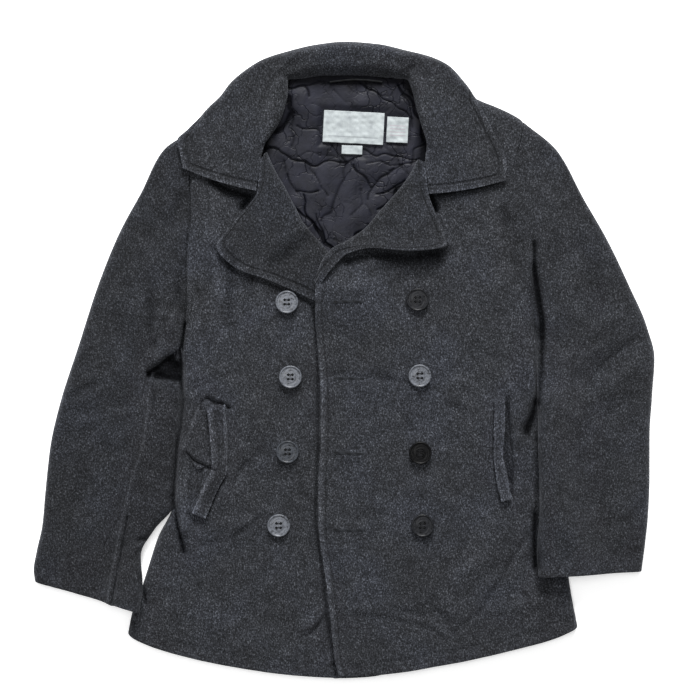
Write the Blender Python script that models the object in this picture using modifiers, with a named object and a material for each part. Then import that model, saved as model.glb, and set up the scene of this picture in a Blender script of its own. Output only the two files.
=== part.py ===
"""Double-breasted wool pea coat, unbuttoned and laid flat on its back.

X runs to the wearer's left, Y from hem to collar, Z up from the floor. The tables
are in millimetres, and every object is placed in metres. Each piece of cloth is an
open surface through sections, with a Solidify wall that grows inwards from it.
"""

import math
from collections import namedtuple

import bmesh
import bpy
from mathutils import Vector
from mathutils.bvhtree import BVHTree

MM = 0.001

WOOL = 3.0              # wall of the heavy coating, lining bonded to it
DOUBLED = 4.0           # wall of the faced pieces: lapels and collar
LINING = 2.0            # quilted lining of the neck
TAPE = 1.0              # labels and hanger loop
SEAM = 0.3              # gap between two pieces at a seam
SIDE_SEAM = 1.1         # a front's rounded side starts this far above the back
SHOULDER_SEAM = 1.9     # and its shoulder this far

BODY_TOP = 14.0         # outer face of a single front above the floor
OVERLAP_TOP = 17.3      # outer face of the over front where it laps the under front
EDGE_FOLD = 10.0        # plan width of the rounded fold at side and shoulder
FOLD_ANGLES = (0.0, 30.0, 60.0, 90.0)
FRONT_COLUMNS = 8       # columns between the side fold and the front edge
BACK_COLUMNS = 10
HEM_CURVE = 0.6         # below 1, a bowed hem is flatter in its middle
BACK_HEM_BOW = -46.0    # the back's hem bows down by this much
BACK_HEM_SHARE = 0.7    # and its rows straighten over this share of the way up
BACK_NECK_BOW = 64.0    # the back bows up to the neck
BACK_NECK_SHARE = 0.4   # from this share of the way up the armhole

LAP_STARTS = 112.0      # x where the over front begins to climb onto the under front
LAP_ENDS = 80.0         # x where it lies fully on it
RISE_FROM_EDGE = (40.0, 105.0)  # the over front's edge lifts within this far of the edge

NECK_RAISE = 4.3        # the hidden collar fall lifts the back neck by this much
RAISE_Y = (285.0, 325.0)
RAISE_X = (110.0, 150.0)

SHOULDER_BOW = 8.0      # the shoulder seam bows out by this much
LAPEL_ROLL = 6.0        # radius of the lapel's roll
LAPEL_LEG = 3.0         # flat start of a lapel, before its roll
TUCKED_ROLL = 4.7       # and where the over front presses on it
COLLAR_ROLL = 7.5
ROLL_ANGLES = (-90.0, -135.0, 180.0, 135.0, 90.0)
LEAF_COLUMNS = 5        # columns from the roll to a lapel's outer edge

SLEEVE_FOLD_ANGLES = (50.0, 0.0, -50.0)
SLEEVE_SEAM = 0.9       # the sleeve's long seams, which climb onto the body's side
CAP_GAP = 2.2           # the sleeve cap stands this far off the shoulder's end
CAP_SHARE = 0.6         # from this share of the way up the armhole
CUFF_RISE = 17.8        # a cuff that lies on the body's side climbs by this much
REST_RAMP = 24.0        # over this width beside it

LYING_GAP = 0.6         # under a piece that lies on another one
LINING_COLUMNS = 8

BUTTON_RADIUS = 14.2
BUTTON_HEIGHT = 4.5
BUTTON_PROFILE = (
    # radius height, from the middle of the underside round to the middle of the dish
    (0.0, 0.0),
    (12.6, 0.0),
    (BUTTON_RADIUS, 1.5),
    (BUTTON_RADIUS, 3.5),
    (13.5, BUTTON_HEIGHT),
    (12.3, BUTTON_HEIGHT),
    (10.9, 3.4),
    (0.0, 3.4),
)
BUTTON_HOLE = 1.25      # radius of a thread hole
BUTTON_HOLE_SPREAD = 2.7
BUTTON_HOLE_SIDES = 6
BUTTON_STEPS = 16
BUTTON_LIFT = 1.6       # thread shank under a button
BUTTON_SHARP = 35.0     # degrees; a turn above this is an edge

Fold = namedtuple("Fold", "name x0 y0 x1 y1 width height")
FOLDS = (
    #    name                    x0    y0    x1    y1  width height
    Fold("right chest ridge",   -161,  222, -164,  150,  15,  1.6),
    Fold("right chest hollow",  -141,  205, -150,  150,  14, -1.4),
    Fold("left chest ridge",     178,  205,  160,  120,  20,  1.3),
    Fold("right waist drag",    -120,  -70,  -70, -120,  22,  1.2),
    Fold("right skirt ridge",   -161, -231, -111, -200,  16,  1.5),
    Fold("right skirt hollow",  -205, -262, -150, -300,  22, -1.3),
    Fold("left skirt hollow",    101, -318,  133, -338,  14, -1.4),
    Fold("left skirt ridge",     172, -312,  250, -300,  18,  1.5),
    Fold("left waist hollow",    158,  -60,  150,    5,  20, -1.2),
    Fold("right sleeve hollow", -290,   40, -245,  -25,  20, -2.0),
    Fold("right elbow ridge",   -345,  -60, -285,  -20,  18,  2.2),
    Fold("right forearm ridge", -243,  -40, -280, -220,  12,  2.4),
    Fold("left elbow hollow",    372,   25,  300,  -30,  16, -2.4),
    Fold("left elbow ridge",     370,   -8,  285,  -60,  18,  2.2),
    Fold("left upper ridge",     265,   60,  262,  150,  20,  1.8),
    Fold("left forearm ridge",   345,  -90,  330, -215,  24,  1.8),
)

# Sections of a front below its armhole, from the side to the front edge. bow is how far
# the section curves down between them; edge_z is the outer face's height at the edge.
Lower = namedtuple("Lower", "name side_x side_y edge_x edge_y bow edge_z")
RIGHT_FRONT_LOWER = (
    #     name         side_x side_y edge_x edge_y  bow  edge_z
    Lower("hem",        -273,  -343,    52,  -391, -23, 14.0),
    Lower("hem turn",   -268,  -318,    52,  -364, -20, 14.0),
    Lower("skirt",      -256,  -287,    52,  -328, -14, 14.0),
    Lower("skirt flare", -249, -265,    52,  -290, -9, 14.0),
    Lower("hip",        -236,  -225,    52,  -238,  -4, 14.0),
    Lower("side notch", -216,  -181,    52,  -184,   0, 14.0),
    Lower("pocket",     -212,  -131,    52,  -131,   0, 14.0),
    Lower("waist",      -206,   -50,    52,   -50,   0, 14.0),
    Lower("underarm",   -204,   -12,    52,   -12,   0, 14.0),
)
LEFT_FRONT_LOWER = (
    #     name          side_x side_y edge_x edge_y bow  edge_z
    Lower("hem",         291,  -335,    -9,  -394,  15, 17.3),
    Lower("hem turn",    287,  -315,   -14,  -375,  14, 17.3),
    Lower("skirt",       282,  -287,   -18,  -335,  11, 17.3),
    Lower("skirt flare", 277,  -250,   -25,  -275,   7, 17.3),
    Lower("hip",         266,  -200,   -34,  -206,   2, 17.3),
    Lower("pocket",      254,  -150,   -34,  -152,   0, 17.3),
    Lower("waist",       244,  -100,   -31,  -100,   0, 17.3),
    Lower("chest",       241,   -50,   -31,   -50,   0, 17.3),
    Lower("lower scye",  242,    12,   -35,    12,   0, 17.3),
    Lower("underarm",    237,    50,   -38,    50,   0, 21.5),
)

# From the underarm to the shoulder each section runs from the armhole to the roll
# line, turns over there and comes back as the lapel to its outer edge. A row whose
# lapel columns are None has no lapel. front_z is the front's outer face at its edge.
Upper = namedtuple("Upper", "name arm_x arm_y roll_x roll_y front_z roll lapel_x lapel_y lapel_z")
RIGHT_FRONT_UPPER = (
    #     name          arm_x arm_y roll_x roll_y front_z roll  lapel_x lapel_y lapel_z
    Upper("underarm",    -204,   12,   50,   40, 14.0, None,         None, None, None),
    Upper("tucked end",  -200,   55,    1,  106, 14.0, TUCKED_ROLL,    -8,   62, 19.2),
    Upper("crossing",    -198,   78,  -17,  129, 14.0, TUCKED_ROLL,   -37,   72, 19.4),
    Upper("low edge",    -199,  102,  -31,  145, 14.0, LAPEL_ROLL,    -67,   86, 20.0),
    Upper("low edge 2",  -199,  125,  -42,  157, 14.0, LAPEL_ROLL,   -100,  100, 20.5),
    Upper("low edge 3",  -197,  147,  -54,  172, 14.0, LAPEL_ROLL,   -134,  112, 20.5),
    Upper("point",       -194,  169,  -61,  186, 14.0, LAPEL_ROLL,   -160,  139, 21.5),
    Upper("top edge",    -194,  190,  -69,  201, 14.0, LAPEL_ROLL,   -144,  165, 22.0),
    Upper("top edge 2",  -195,  210,  -76,  215, 14.0, LAPEL_ROLL,   -126,  186, 22.5),
    Upper("notch",       -195,  226,  -85,  230, 14.0, LAPEL_ROLL,   -110,  209, 23.0),
    Upper("gorge",       -193,  243,  -92,  244, 14.0, LAPEL_ROLL,   -108,  229, 23.0),
    Upper("gorge top",   -191,  256,  -98,  258, 14.0, LAPEL_ROLL,   -106,  249, 23.0),
    Upper("neck",        -189,  268, -106,  300, 14.0, None,         None, None, None),
    Upper("shoulder",    -186,  280,  -99,  326, 14.0, None,         None, None, None),
)
LEFT_FRONT_UPPER = (
    #     name           arm_x arm_y roll_x roll_y front_z roll  lapel_x lapel_y lapel_z
    Upper("underarm",     234,   75,  -38,   75, 24.8, None,         None, None, None),
    Upper("break",        229,   85,  -38,   90, 27.4, None,         None, None, None),
    Upper("turning",      222,   96,  -35,  108, 24.6, TUCKED_ROLL,   -25,  102, 30.8),
    Upper("turned",       215,  111,  -28,  125, 24.6, TUCKED_ROLL,   -12,  118, 31.0),
    Upper("low edge",     208,  127,  -15,  139, 24.0, TUCKED_ROLL,     3,  131, 30.8),
    Upper("low edge 2",   202,  143,   -1,  146, 20.6, LAPEL_ROLL,     34,  138, 30.8),
    Upper("low edge 3",   197,  160,   12,  154, 17.6, LAPEL_ROLL,     80,  135, 30.0),
    Upper("point",        195,  180,   27,  166, 15.6, LAPEL_ROLL,    126,  142, 27.0),
    Upper("top edge",     198,  200,   42,  184, 14.6, LAPEL_ROLL,    121,  162, 25.0),
    Upper("top edge 2",   203,  218,   57,  201, 14.0, LAPEL_ROLL,    112,  182, 24.0),
    Upper("notch",        208,  235,   70,  216, 14.0, LAPEL_ROLL,    104,  204, 23.2),
    Upper("gorge",        212,  249,   81,  232, 14.0, LAPEL_ROLL,    101,  225, 23.0),
    Upper("gorge top",    216,  262,   90,  249, 14.0, LAPEL_ROLL,     99,  245, 23.0),
    Upper("neck",         219,  274,  113,  300, 14.0, None,         None, None, None),
    Upper("shoulder",     221,  287,  108,  326, 14.0, None,         None, None, None),
)

# Sections of a sleeve from armhole to cuff, each across the flattened tube. bow curves it
# outwards; height is that of the tube. rests is how much of the section's weight lies on
# the body's side, from 0 to 1.
Cross = namedtuple("Cross", "name inner_x inner_y outer_x outer_y bow height rests")
RIGHT_SLEEVE = (
    #     name        inner_x inner_y outer_x outer_y bow height rests
    Cross("cap",        -207,    4,    -226,   264,    3,  15.0, 0.0),
    Cross("cap 2",      -208,   -6,    -257,   207,    0,  17.0, 0.0),
    Cross("upper arm",  -209,  -18,    -284,   157,    0,  19.0, 0.0),
    Cross("upper arm 2", -210, -38,    -311,    90,    0,  20.0, 0.0),
    Cross("elbow",      -209,  -68,    -335,    15,    0,  21.0, 0.0),
    Cross("elbow 2",    -212, -108,    -356,   -50,    0,  21.0, 0.0),
    Cross("forearm",    -215, -148,    -370,  -110,    0,  20.0, 0.0),
    Cross("forearm 2",  -223, -182,    -376,  -165,    0,  20.0, 0.0),
    Cross("step",       -241, -216,    -380,  -208,    0,  19.0, 0.0),
    Cross("step 2",     -256, -246,    -387,  -240,    0,  19.0, 0.3),
    Cross("cuff turn",  -258, -285,    -391,  -264,    0,  18.0, 0.8),
    Cross("cuff",       -256, -315,    -389,  -279,    0,  18.0, 1.0),
)
LEFT_SLEEVE = (
    #     name        inner_x inner_y outer_x outer_y bow height rests
    Cross("cap",         238,   68,     267,   262,   20,  15.0, 0.0),
    Cross("cap 2",       241,   58,     299,   202,   10,  17.0, 0.0),
    Cross("upper arm",   243,   44,     329,   148,    5,  19.0, 0.0),
    Cross("upper arm 2", 245,   26,     356,    90,    0,  20.0, 0.0),
    Cross("elbow",       246,    4,     377,    42,    0,  21.0, 0.0),
    Cross("elbow 2",     245,  -25,     387,     2,    0,  21.0, 0.3),
    Cross("forearm",     241,  -60,     384,   -45,    0,  20.0, 1.0),
    Cross("forearm 2",   239, -105,     381,   -95,    0,  20.0, 1.0),
    Cross("wrist",       241, -155,     381,  -145,    0,  19.0, 1.0),
    Cross("wrist 2",     241, -195,     379,  -195,    0,  19.0, 1.0),
    Cross("cuff turn",   238, -240,     375,  -235,    0,  18.0, 1.0),
    Cross("cuff",        240, -271,     371,  -266,    0,  18.0, 1.0),
)
RIGHT_SEAM = 3          # the front seam of the right sleeve shows, at this top column
LEFT_SEAM = 1           # that of the left one is turned under, to this floor column
BACK_SEAM = 8           # floor column of both back seams

# Stations of the collar, from the right leaf's front edge round the neck to the left
# one's. turned: the stand is folded under the leaf (1) or stands open (0). wrap: how
# far the leaf goes round the shoulder, 0 not, 1 down to the floor. tuck: its hidden reach.
Station = namedtuple("Station", "name in_x in_y out_x out_y bow turned wrap tuck out_z")
COLLAR = (
    #        name            in_x in_y out_x out_y bow turned wrap tuck out_z
    Station("right edge",    -113, 210, -203,  238,   3, 0.0, 0.0,  0, 20.5),
    Station("right leaf",    -110, 232, -206,  254,   2, 0.0, 0.0,  0, 20.5),
    Station("right leaf 2",  -107, 254, -210,  272,   0, 0.0, 0.0,  0, 20.0),
    Station("right turn",     -93, 276, -200,  286,   0, 0.6, 0.3,  0, 20.0),
    Station("right turn 2",   -81, 298, -184,  302,   0, 1.0, 0.6,  0, 20.0),
    Station("right neck",     -75, 316, -171,  316,   0, 1.0, 1.0,  0, 21.0),
    Station("right neck 2",   -72, 332, -158,  328,   0, 1.0, 1.0,  0, 22.0),
    Station("right neck 3",   -71, 344, -144,  346,   0, 0.8, 1.0,  6, 23.0),
    Station("right ridge",    -68, 349, -122,  364,   0, 0.4, 1.0, 18, 25.0),
    Station("right ridge 2",  -58, 350, -103,  375,   0, 0.1, 1.0, 30, 26.0),
    Station("right stand",    -44, 352,  -72,  385,   0, 0.0, 1.0, 48, 26.5),
    Station("right stand 2",  -24, 354,  -38,  393,   0, 0.0, 1.0, 60, 26.5),
    Station("back neck",        0, 355,    0,  397,   0, 0.0, 1.0, 64, 26.5),
    Station("left stand 2",    28, 354,   40,  394,   0, 0.0, 1.0, 60, 26.5),
    Station("left stand",      50, 352,   76,  386,   0, 0.0, 1.0, 48, 26.5),
    Station("left ridge 2",    64, 350,  104,  379,   0, 0.1, 1.0, 30, 26.0),
    Station("left ridge",      74, 349,  128,  368,   0, 0.4, 1.0, 18, 25.0),
    Station("left neck 3",     79, 343,  146,  350,   0, 0.8, 1.0,  6, 23.0),
    Station("left neck 2",     84, 331,  160,  332,   0, 1.0, 0.4,  0, 22.0),
    Station("left neck",       88, 314,  169,  313,   0, 1.0, 0.0,  0, 21.0),
    Station("left turn",       95, 290,  178,  297,   0, 1.0, 0.0,  0, 20.5),
    Station("left turn 2",     99, 268,  186,  281,   0, 0.4, 0.0,  0, 20.0),
    Station("left leaf",      102, 248,  196,  262,   0, 0.0, 0.0,  0, 20.0),
    Station("left leaf 2",    104, 226,  201,  242,  -2, 0.0, 0.0,  0, 20.5),
    Station("left edge",      106, 206,  200,  223,  -3, 0.0, 0.0,  0, 20.5),
)
GORGE_Z = 23.2          # outer face of collar and lapel where they join
GORGE_COLUMNS = (0.0, 2.2, 4.4, 6.6, 8.8)
OPEN_STAND_Y = 340.0    # stations whose inner end is above this begin with the open stand
OPEN_STAND = ((0.0, 11.8), (2.0, 14.6), (5.0, 18.2), (9.5, 21.8), (15.0, 24.2))
TURNED_BOTTOM_Z = 11.0  # outer face of the stand where it is folded under the leaf
TURNED_STAND = ((1.0, 0.0), (0.3, 0.3), (0.0, 1.0), (0.3, 1.7), (1.0, 2.0))  # x the roll
LEAF_MIDDLE = (0.3, 0.65)
LAID_EDGE = ((9.0, 1.0), (6.0, 1.0), (3.0, 1.0), (0.5, 1.0))  # in from the edge, x out_z
WRAPPED_EDGE = ((9.0, 1.0), (2.0, 0.77), (0.0, 0.45), (5.0, 0.04))
LEAST_TUCK = 1.5
LAID_LIP = 0.6

Level = namedtuple("Level", "y x_low x_high")
NECK_LINING_LEVELS = (
    #      y  x_low x_high
    Level(112, -18, 12),
    Level(135, -45, 30),
    Level(165, -72, 60),
    Level(200, -95, 85),
    Level(240, -112, 104),
    Level(285, -106, 106),
    Level(320, -96, 100),
    Level(337, -68, 72),
    Level(346, -54, 60),
)

Strip = namedtuple("Strip", "x y width")
LEFT_WELT = (
    #      x    y  width
    Strip(192, -47, 9),
    Strip(194, -85, 12),
    Strip(196, -125, 13),
    Strip(200, -160, 12),
    Strip(204, -178, 8),
)
RIGHT_WELT = (
    Strip(-162, -60, 22),
    Strip(-158, -98, 21),
    Strip(-157, -135, 18),
    Strip(-169, -162, 17),
    Strip(-183, -196, 16),
)
RIGHT_POCKET_FACING = (
    Strip(-179, -58, 9),
    Strip(-183, -85, 18),
    Strip(-186, -112, 25),
    Strip(-178, -136, 16),
)

Patch = namedtuple("Patch", "name x y width length turn")
PATCHES = (
    #      name           x    y  width length turn (degrees)
    Patch("label_main",   10, 290,  76,  40,  -3),
    Patch("label_side",   65, 287,  27,  32,  -3),
    Patch("label_size",    8, 262,  26,  11,  -2),
)
LOOP_LENGTH = 66.0
LOOP_RADIUS = 1.4
LOOP_POINTS = 7
LOOP_X = 12.5
LOOP_Y = 342.0
LOOP_SAG = 3.0

Button = namedtuple("Button", "name x y tip_x tip_y")
BUTTONS = (
    #       name              x     y  tip_x tip_y (degrees)
    Button("button_right_1", -73.5,   71,  2,  3),
    Button("button_right_2", -69,   -22.5, 1,  2),
    Button("button_right_3", -72.5, -116,  2,  1),
    Button("button_right_4", -83.5, -208,  1, -2),
    Button("button_left_1",   90,    74,   1, -1),
    Button("button_left_2",   92.5, -21,   2,  1),
    Button("button_left_3",   93,  -117.5, -4, 2),
    Button("button_left_4",   96,  -208,  -3, -3),
)

COLOURS = {
    #            red    green  blue  roughness
    "wool":     (0.041, 0.044, 0.051, 0.95),
    "lining":   (0.030, 0.032, 0.043, 0.55),
    "label":    (0.620, 0.640, 0.640, 0.70),
    "button":   (0.020, 0.022, 0.025, 0.25),
    "tape":     (0.016, 0.017, 0.020, 0.70),
}


def ease(low, high, value):
    """0 at low, 1 at high, smooth between; low may be the larger."""
    t = min(max((value - low) / (high - low), 0.0), 1.0)
    return t * t * (3.0 - 2.0 * t)


def mix(a, b, t):
    return a + (b - a) * t


def relief(x, y):
    """Height of the cloth's large folds over its even lie."""
    here = Vector((x, y))
    total = 0.0
    for fold in FOLDS:
        start = Vector((fold.x0, fold.y0))
        run = Vector((fold.x1, fold.y1)) - start
        along = min(max((here - start).dot(run) / run.length_squared, 0.0), 1.0)
        distance = (here - start - run * along).length
        total += fold.height * math.exp(-((distance / fold.width) ** 2))
    return total


def neck_raise(x, y):
    """Lift of the back where the collar's fall lies hidden under it."""
    return NECK_RAISE * ease(*RAISE_Y, y) * ease(RAISE_X[1], RAISE_X[0], abs(x))


def new_collection(name):
    collection = bpy.data.collections.new(name)
    bpy.context.scene.collection.children.link(collection)
    return collection


def new_material(name):
    red, green, blue, roughness = COLOURS[name]
    material = bpy.data.materials.new(name)
    material.use_nodes = True
    shader = material.node_tree.nodes["Principled BSDF"]
    shader.inputs["Base Color"].default_value = (red, green, blue, 1.0)
    shader.inputs["Roughness"].default_value = roughness
    shader.inputs["Metallic"].default_value = 0.0
    return material


def grid_mesh(name, rows, flip):
    """Open surface through rows of equally many points, given in millimetres."""
    bm = bmesh.new()
    grid = [[bm.verts.new(point * MM) for point in row] for row in rows]
    for low, high in zip(grid, grid[1:]):
        for corners in zip(low, low[1:], high[1:], high):
            bm.faces.new(reversed(corners) if flip else corners)
    mesh = bpy.data.meshes.new(name)
    bm.to_mesh(mesh)
    bm.free()
    return mesh


def cloth(name, rows, wall, slot, flip=False):
    """A piece of cloth: its outer face through rows, its wall grown inwards."""
    obj = bpy.data.objects.new(name, grid_mesh(name, rows, flip))
    shell = obj.modifiers.new("Wall", "SOLIDIFY")
    shell.thickness = wall * MM
    shell.offset = -1.0
    obj.data.materials.append(MATERIALS[slot])
    COAT.objects.link(obj)
    return obj


def section_point(start, end, bow, t, power):
    """Point at t on a line from start to end, bowed to its left by a rounded hump."""
    run = end - start
    left = Vector((-run.y, run.x)).normalized()
    return start + run * t + left * (bow * (4.0 * t * (1.0 - t)) ** power)


def front_top(edge_distance, x, y, front_z, laps):
    """Outer face of a front: it climbs onto the front below, and lifts at its edge."""
    top = BODY_TOP
    if laps:
        top += (OVERLAP_TOP - BODY_TOP) * ease(LAP_STARTS, LAP_ENDS, x)
        near = ease(RISE_FROM_EDGE[1], RISE_FROM_EDGE[0], edge_distance)
        top = mix(top, front_z, near)
    return top + relief(x, y)


def front_row(side, edge, bow, folded, front_z, laps):
    """Points from a front's side or armhole to its front edge."""
    length = (edge - side).length
    steps = [EDGE_FOLD * (1.0 - math.cos(math.radians(angle))) for angle in FOLD_ANGLES]
    drops = [1.0 - math.sin(math.radians(angle)) for angle in FOLD_ANGLES]
    for k in range(1, FRONT_COLUMNS + 1):
        steps.append(mix(EDGE_FOLD, length, k / FRONT_COLUMNS))
        drops.append(0.0)
    row = []
    for step, drop in zip(steps, drops):
        spot = section_point(side, edge, bow, step / length, HEM_CURVE)
        top = front_top(length - step, spot.x, spot.y, front_z, laps)
        floor = WOOL + SIDE_SEAM + neck_raise(spot.x, spot.y)
        row.append(Vector((spot.x, spot.y, mix(top, floor, drop * folded))))
    return row


def seam_back(end, start):
    """end, drawn back towards start by the seam's gap."""
    return end + (start - end).normalized() * SEAM


def roll_inset(upper):
    """Where the front stops and the turned lapel begins, in from the roll line."""
    roll = Vector((upper.roll_x, upper.roll_y))
    if upper.roll is None:
        return roll
    lapel = Vector((upper.lapel_x, upper.lapel_y))
    return roll + (lapel - roll).normalized() * (upper.roll + LAPEL_LEG)


def shoulder_direction(uppers):
    """The way the armhole points where it reaches the shoulder."""
    below, top = uppers[-2:]
    return Vector((top.arm_x - below.arm_x, top.arm_y - below.arm_y)).normalized()


def front_rows(lowers, uppers, laps):
    rows = []
    for low in lowers:
        side = Vector((low.side_x, low.side_y))
        edge = Vector((low.edge_x, low.edge_y))
        rows.append(front_row(side, edge, low.bow, 1.0, low.edge_z, laps))
    for upper in uppers:
        arm = Vector((upper.arm_x, upper.arm_y))
        edge = roll_inset(upper)
        if upper.roll:
            edge = seam_back(edge, arm)
        bow = 0.0
        if upper.name == "shoulder":
            bow = -SHOULDER_BOW if laps else SHOULDER_BOW
        rows.append(front_row(seam_back(arm, edge), edge, bow, 0.0, upper.front_z, laps))
    out = shoulder_direction(uppers) * EDGE_FOLD
    top_row = rows[-1]
    for angle in FOLD_ANGLES[1:]:
        drop = 1.0 - math.cos(math.radians(angle))
        row = []
        for point in top_row:
            spot = point.xy + out * math.sin(math.radians(angle))
            floor = WOOL + SHOULDER_SEAM + neck_raise(spot.x, spot.y)
            row.append(Vector((spot.x, spot.y, mix(point.z, floor, drop))))
        rows.append(row)
    return rows


def lapel_row(upper, leaf_columns=LEAF_COLUMNS):
    """From the front's edge round the roll and back to the lapel's outer edge."""
    roll = Vector((upper.roll_x, upper.roll_y))
    lapel = Vector((upper.lapel_x, upper.lapel_y))
    across = (lapel - roll).normalized()
    width = (lapel - roll).length
    centre_z = upper.front_z - WOOL + upper.roll
    start = roll + across * (upper.roll + LAPEL_LEG)
    row = [Vector((start.x, start.y, centre_z - upper.roll + relief(start.x, start.y)))]
    for angle in ROLL_ANGLES:
        turn = math.radians(angle)
        spot = roll + across * upper.roll * (1.0 + math.cos(turn))
        height = centre_z + upper.roll * math.sin(turn)
        row.append(Vector((spot.x, spot.y, height + relief(spot.x, spot.y))))
    roll_z = centre_z + upper.roll
    for k in range(1, leaf_columns + 1):
        t = k / leaf_columns
        spot = roll + across * mix(upper.roll, width, t)
        height = mix(roll_z, upper.lapel_z, ease(0.0, 1.0, t))
        row.append(Vector((spot.x, spot.y, height + relief(spot.x, spot.y))))
    return row


def turned_rows(uppers):
    return [lapel_row(upper) for upper in uppers if upper.roll]


def back_rows():
    """The back, from hem to back neck, its outer face on the floor."""
    rows = []
    count = len(RIGHT_FRONT_LOWER)
    for i, right in enumerate(RIGHT_FRONT_LOWER):
        at = i * (len(LEFT_FRONT_LOWER) - 1) / (count - 1)
        below = LEFT_FRONT_LOWER[int(at)]
        above = LEFT_FRONT_LOWER[min(int(at) + 1, len(LEFT_FRONT_LOWER) - 1)]
        share = at - int(at)
        start = Vector((right.side_x, right.side_y))
        end = Vector((
            mix(below.side_x, above.side_x, share),
            mix(below.side_y, above.side_y, share),
        ))
        bow = BACK_HEM_BOW * ease(BACK_HEM_SHARE, 0.0, i / (count - 1))
        rows.append(back_row(start, end, bow, HEM_CURVE))
    last = len(RIGHT_FRONT_UPPER) - 1
    for i, right in enumerate(RIGHT_FRONT_UPPER):
        left = LEFT_FRONT_UPPER[i + 1]
        start = Vector((right.arm_x + SEAM, right.arm_y))
        end = Vector((left.arm_x - SEAM, left.arm_y))
        bow = BACK_NECK_BOW * ease(BACK_NECK_SHARE, 1.0, i / last)
        rows.append(back_row(start, end, bow, 1.0))
    out_right = shoulder_direction(RIGHT_FRONT_UPPER) * EDGE_FOLD
    out_left = shoulder_direction(LEFT_FRONT_UPPER) * EDGE_FOLD
    top_row = rows[-1]
    edge_row = []
    for k, point in enumerate(top_row):
        spot = point.xy + out_right.lerp(out_left, k / (len(top_row) - 1))
        edge_row.append(Vector((spot.x, spot.y, neck_raise(spot.x, spot.y))))
    rows.append(edge_row)
    return rows


def back_row(start, end, bow, power):
    row = []
    for k in range(BACK_COLUMNS + 1):
        spot = section_point(start, end, bow, k / BACK_COLUMNS, power)
        row.append(Vector((spot.x, spot.y, neck_raise(spot.x, spot.y))))
    return row


def side_lines():
    """The body's two side lines, as (y, x) from the hem up."""
    right = [(low.side_y, low.side_x) for low in RIGHT_FRONT_LOWER]
    left = [(low.side_y, low.side_x) for low in LEFT_FRONT_LOWER]
    return right, left


def side_x(line, y):
    for (y0, x0), (y1, x1) in zip(line, line[1:]):
        if y <= y1:
            return mix(x0, x1, max((y - y0) / (y1 - y0), 0.0))
    return line[-1][1]


def sleeve_ring(inner, outer, cross, fractions, line, hand):
    """One ring round the flattened sleeve: along the top, round, and back below."""
    span = outer - inner
    along = span.normalized()
    bulge = cross.height / 2.0
    shares = [(bulge + (span.length - 2.0 * bulge) * f) / span.length for f in fractions]
    plan = [section_point(inner, outer, cross.bow, share, 1.0) for share in shares]
    ring = [(spot, 1.0) for spot in plan]
    for angle in SLEEVE_FOLD_ANGLES:
        turn = math.radians(angle)
        ring.append((plan[-1] + along * bulge * math.cos(turn), 0.5 + 0.5 * math.sin(turn)))
    ring += [(spot, 0.0) for spot in reversed(plan)]
    for angle in reversed(SLEEVE_FOLD_ANGLES):
        turn = math.radians(angle)
        ring.append((plan[0] - along * bulge * math.cos(turn), 0.5 + 0.5 * math.sin(turn)))
    points = []
    for spot, level in ring:
        beside = hand * (spot.x - side_x(line, spot.y))
        lift = CUFF_RISE * cross.rests * ease(REST_RAMP, 0.0, beside)
        height = (cross.height + relief(spot.x, spot.y)) * level
        points.append(Vector((spot.x, spot.y, height + lift)))
    return points


def armhole_ring(uppers, hand):
    """The sleeve's own edge at the armhole, level with front and back."""
    last = len(uppers) - 1
    arms = [
        Vector((upper.arm_x + hand * CAP_GAP * ease(CAP_SHARE, 1.0, k / last), upper.arm_y))
        for k, upper in enumerate(uppers)
    ]
    out = shoulder_direction(uppers) * EDGE_FOLD
    ring = [(spot, 1.0) for spot in arms]
    for angle in SLEEVE_FOLD_ANGLES:
        turn = math.radians(angle)
        ring.append((arms[-1] + out * math.cos(turn), 0.5 + 0.5 * math.sin(turn)))
    ring += [(spot, 0.0) for spot in reversed(arms)]
    for angle in reversed(SLEEVE_FOLD_ANGLES):
        ring.append((arms[0], 0.5 + 0.5 * math.sin(math.radians(angle))))
    return [
        Vector((spot.x, spot.y, (BODY_TOP + relief(spot.x, spot.y)) * level))
        for spot, level in ring
    ]


def sleeve_rings(uppers, crosses, line, hand):
    arms = [Vector((upper.arm_x, upper.arm_y)) for upper in uppers]
    lengths = [0.0]
    for a, b in zip(arms, arms[1:]):
        lengths.append(lengths[-1] + (b - a).length)
    fractions = [length / lengths[-1] for length in lengths]
    rings = [armhole_ring(uppers, hand)]
    for cross in crosses:
        inner = Vector((cross.inner_x, cross.inner_y))
        outer = Vector((cross.outer_x, cross.outer_y))
        rings.append(sleeve_ring(inner, outer, cross, fractions, line, hand))
    return rings


def ring_slice(ring, first, last):
    """Points of a closed ring from first to last, both ends drawn in by half a seam."""
    count = len(ring)
    stop = last if last > first else last + count
    points = [ring[k % count].copy() for k in range(first, stop + 1)]
    for end, following in ((0, 1), (-1, -2)):
        points[end] += (points[following] - points[end]).normalized() * SLEEVE_SEAM / 2.0
    return points


def floor_column(uppers, column):
    """Index on a ring of a column counted along its floor side from the underarm."""
    return 2 * len(uppers) + len(SLEEVE_FOLD_ANGLES) - 1 - column


def make_sleeve(side, uppers, crosses, line, hand, front_seam):
    rings = sleeve_rings(uppers, crosses, line, hand)
    back_seam = floor_column(uppers, BACK_SEAM)
    upper = [ring_slice(ring, front_seam, back_seam) for ring in rings]
    under = [ring_slice(ring, back_seam, front_seam) for ring in rings]
    cloth(f"sleeve_{side}_upper", upper, WOOL, "wool", flip=hand > 0)
    cloth(f"sleeve_{side}_under", under, WOOL, "wool", flip=hand > 0)


def blend(first, second, t):
    """Points part of the way from those of first to those of second."""
    return [(mix(a[0], b[0], t), mix(a[1], b[1], t)) for a, b in zip(first, second)]


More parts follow.
